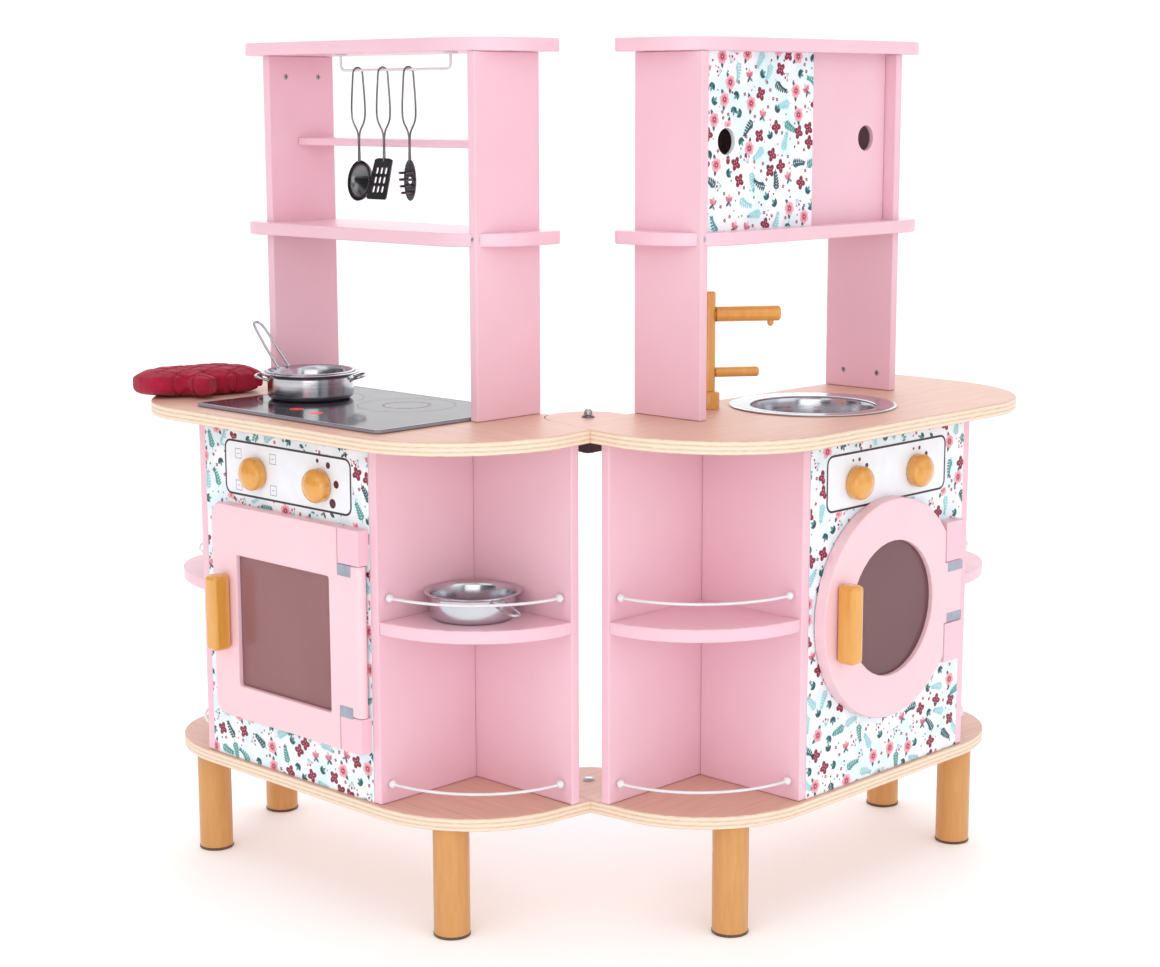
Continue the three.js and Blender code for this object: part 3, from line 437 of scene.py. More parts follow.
def smooth_route(points, steps=8):
    """A uniform Catmull-Rom curve through points."""
    p = [Vector(q) for q in points]
    p = [2 * p[0] - p[1], *p, 2 * p[-1] - p[-2]]
    route = []
    for a, b, c, d in zip(p, p[1:], p[2:], p[3:]):
        for i in range(steps):
            t = i / steps
            route.append(0.5 * (2 * b + (c - a) * t + (2 * a - 5 * b + 4 * c - d) * t * t
                                + (3 * b - a - 3 * c + d) * t ** 3))
    return route + [p[-2]]


def plate(outer, holes, y0, y1):
    """A flat plate between y0 and y1 from an outline and holes in x and z."""
    loops = [outer, *holes]
    flat = [p for loop in loops for p in loop]
    n = len(flat)
    triangles = tessellate_polygon([[Vector((x, z, 0)) for x, z in loop] for loop in loops])
    verts = [(x, y0, z) for x, z in flat] + [(x, y1, z) for x, z in flat]
    faces = []
    for a, b, c in triangles:
        (ax, az), (bx, bz), (cx, cz) = flat[a], flat[b], flat[c]
        if (bx - ax) * (cz - az) - (bz - az) * (cx - ax) < 0:
            b, c = c, b
        faces += [(a, b, c), (c + n, b + n, a + n)]
    start = 0
    for loop in loops:
        size = len(loop)
        area = sum(loop[i - 1][0] * loop[i][1] - loop[i][0] * loop[i - 1][1] for i in range(size))
        for i in range(size):
            a, b = start + i, start + (i + 1) % size
            around = (a, a + n, b + n, b)
            turn = area > 0 if loop is outer else area < 0
            faces.append(around if turn else tuple(reversed(around)))
        start += size
    return verts, faces


def ring_points(x, z, rx, rz, count, start=0.0):
    return [(x + rx * math.cos(start + 2 * math.pi * i / count),
             z + rz * math.sin(start + 2 * math.pi * i / count)) for i in range(count)]


def rounded(x0, x1, z0, z1, r, steps=6):
    points = []
    for cx, cz, start in ((x1 - r, z1 - r, 0), (x0 + r, z1 - r, 1),
                          (x0 + r, z0 + r, 2), (x1 - r, z0 + r, 3)):
        for i in range(steps + 1):
            a = (start + i / steps) * math.pi / 2
            points.append((cx + r * math.cos(a), cz + r * math.sin(a)))
    return points


SHADE = None


def shading_group():
    """Geometry nodes that join split corners and smooth across edges under 50 degrees."""
    tree = bpy.data.node_groups.new("cad_shading", "GeometryNodeTree")
    tree.interface.new_socket("Geometry", in_out="INPUT", socket_type="NodeSocketGeometry")
    tree.interface.new_socket("Geometry", in_out="OUTPUT", socket_type="NodeSocketGeometry")
    n = tree.nodes
    start, end = n.new("NodeGroupInput"), n.new("NodeGroupOutput")
    drop = n.new("GeometryNodeRemoveAttribute")
    drop.inputs["Name"].default_value = "custom_normal"
    weld = n.new("GeometryNodeMergeByDistance")
    weld.inputs["Distance"].default_value = 1e-5
    faces = n.new("GeometryNodeSetShadeSmooth")
    edges = n.new("GeometryNodeSetShadeSmooth")
    edges.domain = "EDGE"
    edges.inputs["Shade Smooth"].default_value = False
    angle = n.new("GeometryNodeInputMeshEdgeAngle")
    sharp = n.new("FunctionNodeCompare")
    sharp.operation = "GREATER_THAN"
    sharp.inputs[1].default_value = math.radians(50)
    link = tree.links.new
    link(start.outputs[0], drop.inputs["Geometry"])
    link(drop.outputs["Geometry"], weld.inputs["Geometry"])
    link(weld.outputs["Geometry"], faces.inputs["Geometry"])
    link(faces.outputs["Geometry"], edges.inputs["Geometry"])
    link(angle.outputs["Unsigned Angle"], sharp.inputs[0])
    link(sharp.outputs[0], edges.inputs["Selection"])
    link(edges.outputs["Geometry"], end.inputs[0])
    return tree


def dress(name, material, smooth=True):
    """Gives a CAD node its material and clean shading."""
    obj = NODES[name]
    for slot in obj.material_slots:
        slot.material = material
    if smooth:
        global SHADE
        SHADE = SHADE or shading_group()
        obj.modifiers.new("shading", "NODES").node_group = SHADE
        weights = obj.modifiers.new("weights", "WEIGHTED_NORMAL")
        weights.keep_sharp = True


# ---------------------------------------------------------------- stage, camera, light

def studio():
    scene = bpy.context.scene
    scene.view_settings.view_transform = "Standard"
    width, radius, near, far, height = 14.0, 1.6, -9.0, 3.4, 7.0
    profile = [(near, 0.0), (far, 0.0)]
    for i in range(1, 13):
        a = i / 12 * math.pi / 2
        profile.append((far + radius * math.sin(a), radius - radius * math.cos(a)))
    profile.append((far + radius, height))
    verts = [(x, y, z) for x in (-width, width) for y, z in profile]
    n = len(profile)
    faces = [(i, n + i, n + i + 1, i + 1) for i in range(n - 1)]
    mesh = bpy.data.meshes.new("studio_floor")
    mesh.from_pydata(verts, [], faces)
    mesh.polygons.foreach_set("use_smooth", [True] * len(mesh.polygons))
    floor = bpy.data.objects.new("studio_floor", mesh)
    bpy.context.collection.objects.link(floor)
    s = Shader("studio_paper", 0.9, Emission_Color=(1, 1, 1, 1), Emission_Strength=0.1)
    s.set(Base_Color=s.ramp(s.noise(s.coords(), 3.0, 2.0), [(0.3, "#fcfcfd"), (0.7, "#fefeff")]))
    mesh.materials.append(s.material)

    world = bpy.data.worlds.new("studio")
    scene.world = world
    world.use_nodes = True
    tree = world.node_tree
    back = tree.nodes["Background"]
    back.inputs["Strength"].default_value = 0.95
    place = tree.nodes.new("ShaderNodeTexCoord")
    split = tree.nodes.new("ShaderNodeSeparateXYZ")
    ramp = tree.nodes.new("ShaderNodeValToRGB")
    ramp.color_ramp.elements[0].position = 0.35
    ramp.color_ramp.elements[0].color = (0.7, 0.7, 0.72, 1)
    ramp.color_ramp.elements[1].position = 0.75
    ramp.color_ramp.elements[1].color = (1, 1, 1, 1)
    bands = tree.nodes.new("ShaderNodeValToRGB")
    while len(bands.color_ramp.elements) < 5:
        bands.color_ramp.elements.new(0.5)
    for element, (place_at, level) in zip(bands.color_ramp.elements, (
            (0.40, 0.10), (0.50, 0.16), (0.56, 0.85), (0.66, 0.25), (0.85, 0.95))):
        element.position = place_at
        element.color = (level, level, level * 1.04, 1)
    path = tree.nodes.new("ShaderNodeLightPath")
    choose = tree.nodes.new("ShaderNodeMix")
    choose.data_type = "RGBA"
    lift = tree.nodes.new("ShaderNodeMath")
    lift.operation = "MULTIPLY_ADD"
    lift.inputs[1].default_value = 0.5
    lift.inputs[2].default_value = 0.5
    tree.links.new(place.outputs["Generated"], split.inputs[0])
    tree.links.new(split.outputs["Z"], lift.inputs[0])
    tree.links.new(lift.outputs[0], ramp.inputs[0])
    around = tree.nodes.new("ShaderNodeMath")
    around.operation = "MULTIPLY_ADD"
    around.inputs[1].default_value = 0.22
    tree.links.new(split.outputs["X"], around.inputs[0])
    tree.links.new(lift.outputs[0], around.inputs[2])
    tree.links.new(around.outputs[0], bands.inputs[0])
    tree.links.new(path.outputs["Is Glossy Ray"], choose.inputs[0])
    tree.links.new(ramp.outputs[0], choose.inputs[6])
    tree.links.new(bands.outputs[0], choose.inputs[7])
    tree.links.new(choose.outputs[2], back.inputs["Color"])

    for name, place, size, power, color in (
        ("key", (-2.2, -3.0, 3.2), 2.4, 15, (1.0, 0.985, 0.97)),
        ("low", (0.1, -4.2, 0.7), 3.0, 42, (1.0, 0.99, 0.99)),
        ("fill", (2.8, -2.6, 2.2), 2.6, 12, (0.97, 0.985, 1.0)),
        ("top", (0.0, -0.4, 3.4), 2.4, 6, (1.0, 1.0, 1.0)),
        ("back", (0.2, 3.0, 2.6), 2.6, 24, (1.0, 1.0, 1.0)),
    ):
        data = bpy.data.lights.new(name, "AREA")
        data.size = size
        data.energy = power
        data.color = color
        lamp = bpy.data.objects.new(name, data)
        bpy.context.collection.objects.link(lamp)
        lamp.location = place
        aim = Vector((0, 0, 0.5)) - Vector(place)
        lamp.rotation_euler = aim.to_track_quat("-Z", "Y").to_euler()


def camera():
    data = bpy.data.cameras.new("camera")
    data.sensor_width = 36
    data.lens = 67.75
    obj = bpy.data.objects.new("camera", data)
    bpy.context.collection.objects.link(obj)
    place = PIVOT + Vector((-0.0556, -2.4663, 0.9319))
    pitch = math.radians(9.97)
    yaw = math.atan2(0.0187, 0.9998)
    forward = Vector((math.sin(yaw) * math.cos(pitch), math.cos(yaw) * math.cos(pitch),
                      -math.sin(pitch)))
    level = forward.cross(Vector((0, 0, 1))).normalized()
    up = level.cross(forward)
    roll = -0.0023
    right = level * math.cos(roll) + up * math.sin(roll)
    up = right.cross(forward)
    obj.matrix_world = Matrix((
        (right.x, up.x, -forward.x, place.x),
        (right.y, up.y, -forward.y, place.y),
        (right.z, up.z, -forward.z, place.z),
        (0, 0, 0, 1),
    ))
    bpy.context.scene.camera = obj


# ---------------------------------------------------------------- the CAD nodes' finishes

def finishes():
    wood = {}
    for unit, word in ((COOKER, "cooker"), (SINK, "sink")):
        for part in ("bottom_board", "worktop"):
            wood[f"{word}_{part}"] = PLY[unit]
        front = f"{word}_front_panel"
        wood[front] = printed_ground(f"{word}_front_print", unit, front)
        for leg in ("outer_front", "outer_back", "inner_front"):
            wood[f"{word}_leg_{leg}"] = LEG_WOOD
    # The pivot block is plywood; it is given the painted shade it sits in under the worktop.
    special = {
        "oven_door": PALE_PINK, "washer_door": PALE_PINK, "oven_window": OVEN_PANE,
        "washer_window": SHADED_WASHER_PANE, "hob": HOB, "pivot_block": PAINTED_SHADE,
        "pivot_bolt_upper": DARK_STEEL, "pivot_bolt_lower": BOLT, "sliding_door_print": GROUND,
        "oven_handle": OCHRE, "washer_handle": OCHRE, "tap_base": OCHRE, "tap_column": OCHRE,
        "tap_lever": OCHRE, **wood,
    }
    for name in NODES:
        dress(name, special.get(name, PINK))


# ---------------------------------------------------------------- printed pattern

def leaf(x, z, length, width, angle, color, layer=1):
    """A pointed leaf that starts at (x, z)."""
    steps = 6
    side = [(length * i / steps, width / 2 * math.sin(math.pi * (i / steps) ** 0.85))
            for i in range(steps + 1)]
    outline = side + [(a, -b) for a, b in reversed(side[1:-1])]
    c, s = math.cos(angle), math.sin(angle)
    return [(color, layer, [(x + a * c - b * s, z + a * s + b * c) for a, b in outline])]


def dot(x, z, r, color, layer=1, squash=1.0, count=14):
    return [(color, layer, ring_points(x, z, r, r * squash, count))]


def petals(x, z, count, reach, r, start, color, layer, shape=1.0):
    made = []
    for i in range(count):
        a = start + 2 * math.pi * i / count
        cx, cz = x + reach * math.cos(a), z + reach * math.sin(a)
        c, s = math.cos(a), math.sin(a)
        ring = [(cx + u * shape * c - v * s, cz + u * shape * s + v * c)
                for u, v in ring_points(0, 0, r, r, 12)]
        made.append((color, layer, ring))
    return made


def stem(x, z, length, angle, bend, color, width=0.7):
    route = []
    for i in range(7):
        t = i / 6
        a = angle + bend * t
        route.append((x + length * t * math.cos(a), z + length * t * math.sin(a)))
    left, right = [], []
    for i, (px, pz) in enumerate(route):
        qx, qz = route[min(i + 1, 6)]
        rx, rz = route[max(i - 1, 0)]
        size = math.hypot(qx - rx, qz - rz)
        nx, nz = -(qz - rz) / size * width / 2, (qx - rx) / size * width / 2
        left.append((px + nx, pz + nz))
        right.append((px - nx, pz - nz))
    return route, [(color, 1, left + right[::-1])]


def sprig(rng, x, z, angle, color):
    """A bent stem with paired leaves."""
    route, made = stem(x, z, 21, angle, rng.uniform(-0.5, 0.5), color)
    for i, (px, pz) in enumerate(route[1:], 1):
        size = 8.6 - i * 0.7
        for side in (-1, 1):
            made += leaf(px, pz, size, 2.9, angle + side * 0.85, color, 2)
    return made + leaf(*route[-1], 6, 2.6, angle, color, 2)


def clover(rng, x, z):
    """Four deep red petals, notched by a pink cross."""
    start = rng.uniform(0, 1.5)
    made = petals(x, z, 4, 4.3, 3.3, start, "crimson", 2, 1.25)
    made += petals(x, z, 4, 2.4, 0.7, start, "rose", 3, 2.2)
    return made + dot(x, z, 1.5, "wine", 4)


def blossom(rng, x, z):
    """A round flower: pale petals, a rose ring and a dark eye."""
    start = rng.uniform(0, 1.0)
    made = petals(x, z, 6, 5.0, 3.5, start, "blush", 2)
    made += petals(x, z, 6, 3.0, 2.2, start + 0.5, "rose", 3)
    made += dot(x, z, 2.7, "crimson", 4)
    made += dot(x, z, 1.2, "blush", 5)
    for k in range(2):
        a = start + 1.2 + k * 2.6
        made += leaf(x + 5 * math.cos(a), z + 5 * math.sin(a), 8, 4.4, a, "teal", 1)
    return made


def fan(rng, x, z):
    """Three pink petals that open upwards from dark leaves."""
    lean = rng.uniform(-0.6, 0.6) + math.pi / 2
    made = []
    for k in (-1, 0, 1):
        made += leaf(x, z, 10.5 - abs(k) * 1.5, 5.2, lean + k * 0.72, "rose" if k else "blush", 2)
    made += leaf(x, z, 7, 3.4, lean + 2.4, "teal", 1) + leaf(x, z, 7, 3.4, lean - 2.4, "sea", 1)
    return made + dot(x, z, 1.4, "crimson", 3)


def tuft(rng, x, z):
    """A spray of three broad dark leaves."""
    lean = rng.uniform(0, 6.28)
    made = []
    for k in (-1, 0, 1):
        made += leaf(x, z, 11 - abs(k) * 2, 4.8, lean + k * 0.6, "teal" if k else "sea", 2)
    return made


def berries(rng, x, z):
    lean = rng.uniform(0, 6.28)
    made = []
    for k in (-1, 0, 1):
        route, line = stem(x, z, 8, lean + k * 0.6, 0.2, "sea", 0.6)
        made += line + dot(*route[-1], 1.5, "rose" if k else "crimson", 2)
    return made


def chip(rng, x, z):
    """A small turned square with a pale middle."""
    a = rng.uniform(0, 1.57)
    made = [("crimson", 2, ring_points(x, z, 2.5, 2.5, 4, a))]
    return made + [("blush", 3, ring_points(x, z, 1.0, 1.0, 4, a))]


def speck(rng, x, z):
    return dot(x, z, rng.uniform(0.9, 1.5), rng.choice(("rose", "crimson", "sea")), 2)


def leafy(rng, x, z):
    """A sprig laid through the spot at any angle."""
    angle = rng.uniform(0, 6.28)
    color = rng.choice(("aqua", "sea", "aqua", "teal"))
    return sprig(rng, x - 11 * math.cos(angle), z - 11 * math.sin(angle), angle, color)


def clip(points, low, high, axis):
    for limit, sign in ((low, 1), (high, -1)):
        kept = []
        for a, b in zip(points, points[1:] + points[:1]):
            inside_a = sign * (a[axis] - limit) >= 0
            inside_b = sign * (b[axis] - limit) >= 0
            if inside_a:
                kept.append(a)
            if inside_a != inside_b:
                t = (limit - a[axis]) / (b[axis] - a[axis])
                kept.append((a[0] + (b[0] - a[0]) * t, a[1] + (b[1] - a[1]) * t))
        points = kept
        if len(points) < 3:
            return []
    return points


def pattern(seed, x0, x1, z0, z1, skip):
    """Scatters the motifs over a rectangle, larger ones first, and returns coloured outlines."""
    rng = random.Random(seed)
    placed, shapes = [], []
    large = ((leafy, 9.4, 0.30), (tuft, 7.8, 0.17), (clover, 7.8, 0.13), (blossom, 9.0, 0.13),
             (fan, 8.8, 0.12), (berries, 6.6, 0.10))
    small = ((chip, 3.1, 0.55), (speck, 2.2, 0.45))
    for kinds, density in ((large, 0.05), (small, 0.02)):
        weights = [k[2] for k in kinds]
        for _ in range(int((x1 - x0) * (z1 - z0) * density)):
            make, room, _ = rng.choices(kinds, weights)[0]
            x, z = rng.uniform(x0 - 4, x1 + 4), rng.uniform(z0 - 4, z1 + 4)
            if any(math.hypot(x - px, z - pz) < room + pr for px, pz, pr in placed):
                continue
            placed.append((x, z, room))
            shapes += make(rng, x, z)
    kept = []
    for color, layer, points in shapes:
        points = clip(clip(points, x0, x1, 0), z0, z1, 1)
        if len(points) > 2 and not any(skip(x, z) for x, z in points):
            kept.append((color, layer, points))
    return kept


def printed(name, body, unit, y, shapes, base=0.08, step=0.04):
    """Flat printed shapes that face the front of a unit, each layer a little proud of the last."""
    verts, faces, ids = [], [], []
    colors = sorted({s[0] for s in shapes})
    for color, layer, points in shapes:
        area = sum(points[i - 1][0] * points[i][1] - points[i][0] * points[i - 1][1]
                   for i in range(len(points)))
        if area > 0:
            points = points[::-1]
        faces.append(tuple(range(len(verts), len(verts) + len(points))))
        verts += [(x, y + base + step * layer, z) for x, z in points]
        ids.append(colors.index(color))
    return piece(name, body, unit, (verts, faces), [INKS[c] for c in colors], ids, smooth=0)


def print_everywhere():
    def oven_mouth(x, z):
        return 160 < x < 368 and 220 < z < 446 or near_shafts(x, z)

    def washer_mouth(x, z):
        return math.hypot(x - 255, z - 348) < 106 or near_shafts(x, z)

    def near_shafts(x, z):
        return 146 < x < 375 and 473 < z < 537

    def finger_hole(x, z):
        return math.hypot(x - 109.8, z - 885.5) < 15.6

    x0, x1, z0, z1 = 116.6, 414.4, 145.6, 559.4
    printed("oven_print", "cooker_module", COOKER, FRONT_Y, pattern(11, x0, x1, z0, z1, oven_mouth))
    printed("washer_print", "sink_module", SINK, FRONT_Y, pattern(23, x0, x1, z0, z1, washer_mouth))
    printed("cupboard_print", "print_door", SINK, 110,
            pattern(37, 73.6, 265.0, 786.5, 984.5, finger_hole))


def hollow_square(x, z, w, h, line, layer=3):
    """Four thin strokes round a small rectangle."""
    made = []
    for a0, a1, b0, b1 in ((-w, w, h - line, h), (-w, w, -h, -h + line),
                           (-w, -w + line, -h, h), (w - line, w, -h, h)):
        made.append(("ash", layer, [(x + a0, z + b0), (x + a1, z + b0), (x + a1, z + b1),
                                    (x + a0, z + b1)]))
    return made


def control_panels():
    for unit, word in ((COOKER, "oven"), (SINK, "washer")):
        outline = rounded(145, 376, 472, 538, 11)
        inside = rounded(147.5, 373.5, 474.5, 535.5, 8.5)
        holes = [ring_points(x, 502, 4.8, 4.8, 24) for x in (199, 316)]
        ground = plate(outline, holes, FRONT_Y + 0.05, FRONT_Y + 0.34)
        piece(f"{word}_control_ground", unit.body, unit, ground, PANEL_WHITE)
        line = plate(outline, [inside], FRONT_Y + 0.3, FRONT_Y + 0.42)
        piece(f"{word}_control_line", unit.body, unit, line, INKS["line"])
        shapes = []
        if word == "oven":
            for x, z in ((350, 522), (285, 522), (285, 485), (350, 484)):
                shapes += hollow_square(x, z, 5.8, 6.0, 0.6)
                shapes += [("ash", 3, [(x - 2.4, z - 0.3), (x + 2.4, z - 0.3), (x + 2.4, z + 0.3),
                                       (x - 2.4, z + 0.3)])]
            for angle, r in ((100, 2.5), (60, 3.8), (8, 4.6), (-42, 5.6)):
                a = math.radians(angle)
                shapes += dot(199 - 28 * math.cos(a), 502 + 28 * math.sin(a), r, "wine", 3)
        else:
            for x in (199, 316):
                for k, angle in enumerate((102, 76, 40, -42)):
                    a = math.radians(angle)
                    r = 1.7 + k * 0.65
                    shapes += dot(x - 0 + 26.5 * math.cos(a), 502 + 26.5 * math.sin(a), r, "wine", 3)
        printed(f"{word}_control_marks", unit.body, unit, FRONT_Y, shapes, 0.3, 0.04)


# ---------------------------------------------------------------- turned and wire pieces

def arc(cx, cz, r, start, end, steps=5):
    return [(cx + r * math.cos(math.radians(start + (end - start) * i / steps)),
             cz + r * math.sin(math.radians(start + (end - start) * i / steps)))
            for i in range(steps + 1)]


def knob_form():
    """A domed knob about y with its shaft; y = 0 is the panel's front."""
    profile = [(0, -18), (4, -18), (4, 0.6), (17.4, 0.6), *arc(17.6, 2.6, 1.9, -90, 0, 4)]
    for i in range(18):
        a = i / 18 * math.pi / 2
        profile.append((19.5 * math.cos(a), 9 + 11 * math.sin(a)))
    profile.append((0, 20))
    verts, faces = lathe(profile, 56)
    return moved((verts, faces), Matrix.Rotation(-math.pi / 2, 4, "X"))


def knobs():
    for unit, word in ((COOKER, "oven"), (SINK, "washer")):
        for side, x in (("inner", 199), ("outer", 316)):
            name = f"{word}_knob_{side}"
            obj = piece(f"{name}_wood", name, unit, shifted(knob_form(), x, FRONT_Y, 502), OCHRE)
            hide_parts(name)


def pan_form(body_r, rim_r, h, wall=1.2, bend=7.0):
    """A thin pan with a rounded foot, a straight wall and a rim that turns outwards."""
    lip = rim_r - body_r
    outside = [(0, 0.5), (body_r - bend - 8, 0.5), (body_r - bend - 6, 0)]
    outside += arc(body_r - bend, bend, bend, -90, 0, 6)
    outside += [(body_r, h - lip * 0.7)]
    outside += arc(body_r + lip * 0.7, h - lip * 0.7 - 0.9, lip * 0.7, 180, 100, 5)
    outside += arc(rim_r - 1.0, h - 1.0, 1.0, -80, 90, 4)
    inside = [(body_r + lip * 0.5, h - 0.1)]
    inside += [(body_r + lip * 0.12, h - 1.6), (body_r - wall, h - lip * 0.7 - 1.2)]
    inside += arc(body_r - bend, bend, bend - wall, 0, -90, 6)
    inside += [(body_r - bend - 5, wall), (body_r - bend - 7, wall + 0.5), (0, wall + 0.5)]
    return lathe(outside + inside, 96)


def side_loop(radius, z, turn):
    half, reach = 15, 17
    x = math.sqrt((radius - 0.5) ** 2 - half ** 2)
    route = smooth_route([(x, -half, z - 4), (x + reach * 0.8, -half, z), (x + reach, 0, z),
                          (x + reach * 0.8, half, z), (x, half, z - 4)])
    feet = [shifted(lathe([(0, -1.0), (3.1, -1.0), (3.1, 0.6), (2.2, 1.3), (0, 1.3)], 16), 0, 0, 0)]
    loop = tube(route, 1.6)
    pads = []
    for side in (-1, 1):
        tilt = math.atan2(side * half, x)
        place = (Matrix.Translation((x, side * half, z - 4)) @ Matrix.Rotation(tilt, 4, "Z")
                 @ Matrix.Rotation(math.pi / 2, 4, "Y"))
        pads.append(moved(feet[0], place))
    return moved(merge(loop, *pads), Matrix.Rotation(turn, 4, "Z"))


def long_loop(radius, z, rise, reach, half, turn):
    x = math.sqrt((radius - 0.5) ** 2 - half ** 2)
    mid, far = (0.5, 0.95, 0.5), (0.9, 0.7, 0.92)
    points = [(x, -half, z)]
    for u, v, w in (mid, far):
        points.append((x + reach * u, -half * v, z + rise * w))
    points.append((x + reach, 0, z + rise))
    for u, v, w in (far, mid):
        points.append((x + reach * u, half * v, z + rise * w))
    points.append((x, half, z))
    return moved(tube(smooth_route(points), 1.6), Matrix.Rotation(turn, 4, "Z"))


def pans():
    pot = merge(pan_form(51.5, 59, 33), side_loop(51.5, 27, math.pi / 4),
                side_loop(51.5, 27, 5 * math.pi / 4))
    obj = piece("pot_steel", "pot", COOKER, shifted(pot, *POT_AT, HOB_TOP), STEEL)
    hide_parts("pot")
    low = HOB_TOP + 33 + 0.3 - (22 - 1.2)
    skillet = merge(pan_form(48, 53, 22, 1.2, 6), long_loop(46.5, 21, 52, 48, 9, 0.03 * math.pi))
    obj = piece("skillet_steel", "skillet", COOKER, shifted(skillet, *POT_AT, low), STEEL)
    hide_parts("skillet")
    pan = merge(pan_form(48.5, 55.4, 31), long_loop(48.5, 25, -8, 38, 8, 0.95 * math.pi))
    obj = piece("shelf_pan_steel", "shelf_pan", COOKER, shifted(pan, 47, 139, SHELF_TOP + 0.3), STEEL)
    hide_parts("shelf_pan")


def sink_bowl():
    rim, bowl, depth, bend, wall = 99, 74, 48, 22, 1.2
    outside = [(0, -depth), (bowl - bend, -depth), *arc(bowl - bend, -depth + bend, bend, -90, 0, 8)]
    outside += [(bowl, 0), (rim - 0.8, 0), *arc(rim - 1.0, 1.0, 1.0, -60, 90, 4)]
    inside = [(rim - 5, 2.0), (rim - 7, 1.5), (bowl + 6, 1.3), *arc(bowl + 3, -1.8, 3.0, 90, 165, 4)]
    inside += [(bowl - wall, -6), *arc(bowl - bend, -depth + bend, bend - wall, 0, -90, 9)]
    inside += [(12, -depth + wall), (10.5, -depth + 0.7), (0, -depth + 0.7)]
    part = shifted(lathe(outside + inside, 112), 253, 126, WORKTOP_TOP + 0.3)
    obj = piece("sink_bowl_steel", "sink_module", SINK, part, STEEL)
    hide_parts("sink_bowl")


END_Z = -106


def hairpin():
    top, w, join = 3.0, 8, END_Z * 0.66
    half = [(0, 1, END_Z), (0, 1.2, join - 4), (0, w + 2, join + 17), (0, w, -12),
            (0, w * 0.75, top - 3.5)]
    points = [(x, -y, z) for x, y, z in half] + [(0, 0, top)] + half[::-1]
    return tube(smooth_route(points, 7), 1.1, 10)


def ladle_form():
    r, wall, depth = 20.4, 1.2, 11
    outside = [(0, -depth), *[(r * math.sin(a), -depth * math.cos(a)) for a in
                              [i / 9 * math.pi / 2 for i in range(1, 10)]]]
    inside = [(r + 0.3, wall), (r - wall, wall)]
    inside += [((r - wall) * math.sin(a), wall - depth * math.cos(a)) for a in
               [i / 9 * math.pi / 2 for i in range(8, 0, -1)]] + [(0, wall - depth)]
    bowl = lathe(outside + inside, 48)
    place = (Matrix.Translation((0, 0, END_Z - 22)) @ Matrix.Rotation(-0.46 * math.pi, 4, "X")
             @ Matrix.Diagonal((1, 1.15, 1, 1)))
    return moved(bowl, place)


def spatula_form():
    w, h = 17, 47
    outer = [(-w * 0.9, 0), (-w * 0.98, -h * 0.5), (-w, -h + 2), (-w + 2, -h), (w - 2, -h),
             (w, -h + 2), (w * 0.98, -h * 0.5), (w * 0.9, 0), (w * 0.6, 1.8), (-w * 0.6, 1.8)]
    holes = [rounded(c * 7.6 - 2, c * 7.6 + 2, -13 - r * 11 - 4, -13 - r * 11 + 4, 1.8)
             for r in range(3) for c in (-1, 0, 1)]
    blade = plate(outer, holes, -0.7, 0.7)
    place = Matrix.Translation((0, 0.5, END_Z + 3)) @ Matrix.Rotation(0.28, 4, "X")
    return moved(blade, place)


def pasta_form():
    h = 47
    outer = ring_points(0, -h / 2, 10, h / 2, 40)
    head = [plate(outer, [ring_points(0, -h / 2, 4, 4, 20)], -0.7, 0.7)]
    peg = lathe([(0, 0), (1.5, 0), (1.5, 9.6), (1.1, 10.6), (0, 11)], 12)
    for side in (-1, 1):
        for i in range(4):
            place = (Matrix.Translation((side * (7 - i * i * 0.4), 0, -15 - i * 7.6))
                     @ Matrix.Rotation(-math.pi / 2, 4, "X"))
            head.append(moved(peg, place))
    return shifted(merge(*head), 0, 0, END_Z + 4)


def utensils():
    for name, x, form in (("ladle", 284, ladle_form()), ("spatula", 239.5, spatula_form()),
                          ("pasta_server", 195, pasta_form())):
        wire = piece(f"{name}_wire", name, COOKER, shifted(hairpin(), x, 92, RAIL_Z), WIRE_STEEL)
        head = piece(f"{name}_head", name, COOKER, shifted(form, x, 92, RAIL_Z), DARK_STEEL)
        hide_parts(name)


def utensil_rail():
    x0, x1, drop, bend = 124, 314, 18.5, 6
    route = [(x0, 0, drop), (x0, 0, bend), *[(x0 + bend - bend * math.cos(a), 0, bend - bend *
             math.sin(a)) for a in (0.4, 0.8, 1.2)], (x0 + bend, 0, 0)]
    route += [(x, 0, z) for x, _, z in [(x0 + x1 - p[0], 0, p[2]) for p in route[::-1]]]
    discs = [shifted(lathe([(0, drop - 2), (7.2, drop - 2), (8, drop - 1.4), (8, drop - 0.3),
                            (0, drop - 0.3)], 32), x, 0, 0) for x in (x0, x1)]
    part = shifted(merge(tube(route, 1.6), *discs), 0, 92, RAIL_Z)
    obj = piece("utensil_rail_wire", "cooker_module", COOKER, part, WHITE)
    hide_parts("utensil_rail")


def ball(x, y, z, r):
    profile = [(0, -r), *[(r * math.sin(a), -r * math.cos(a)) for a in
                          [i / 10 * math.pi for i in range(1, 10)]], (0, r)]
    return shifted(lathe(profile, 24), x, y, z)


def shelf_rails():
    """White rods with ball ends that keep things on the quarter-round shelves."""
    for unit in (COOKER, SINK):
        for side, cx, rx, ry, sign in (("inner", 104, 143, 135, -1), ("outer", 427, 108, 131, 1)):
            for level, z in (("shelf", SHELF_TOP + 26), ("bottom", BOARD_TOP + 23)):
                route = []
                for i in range(33):
                    a = i / 32 * math.pi / 2
                    route.append((cx + sign * rx * math.sin(a), 82.5 + ry * math.cos(a), z))
                start, end = route[0], route[-1]
                route[0] = (cx + sign * 0.5, start[1], z)
                route[-1] = (end[0], 83.0, z)
                part = merge(tube(route, 1.7), ball(cx + sign * 5.1, start[1], z, 4.8),
                             ball(end[0], 87.6, z, 4.8))
                name = f"{unit.body.split('_')[0]}_{side}_{level}_rail"
                piece(name, unit.body, unit, part, WHITE)


# ---------------------------------------------------------------- small fittings

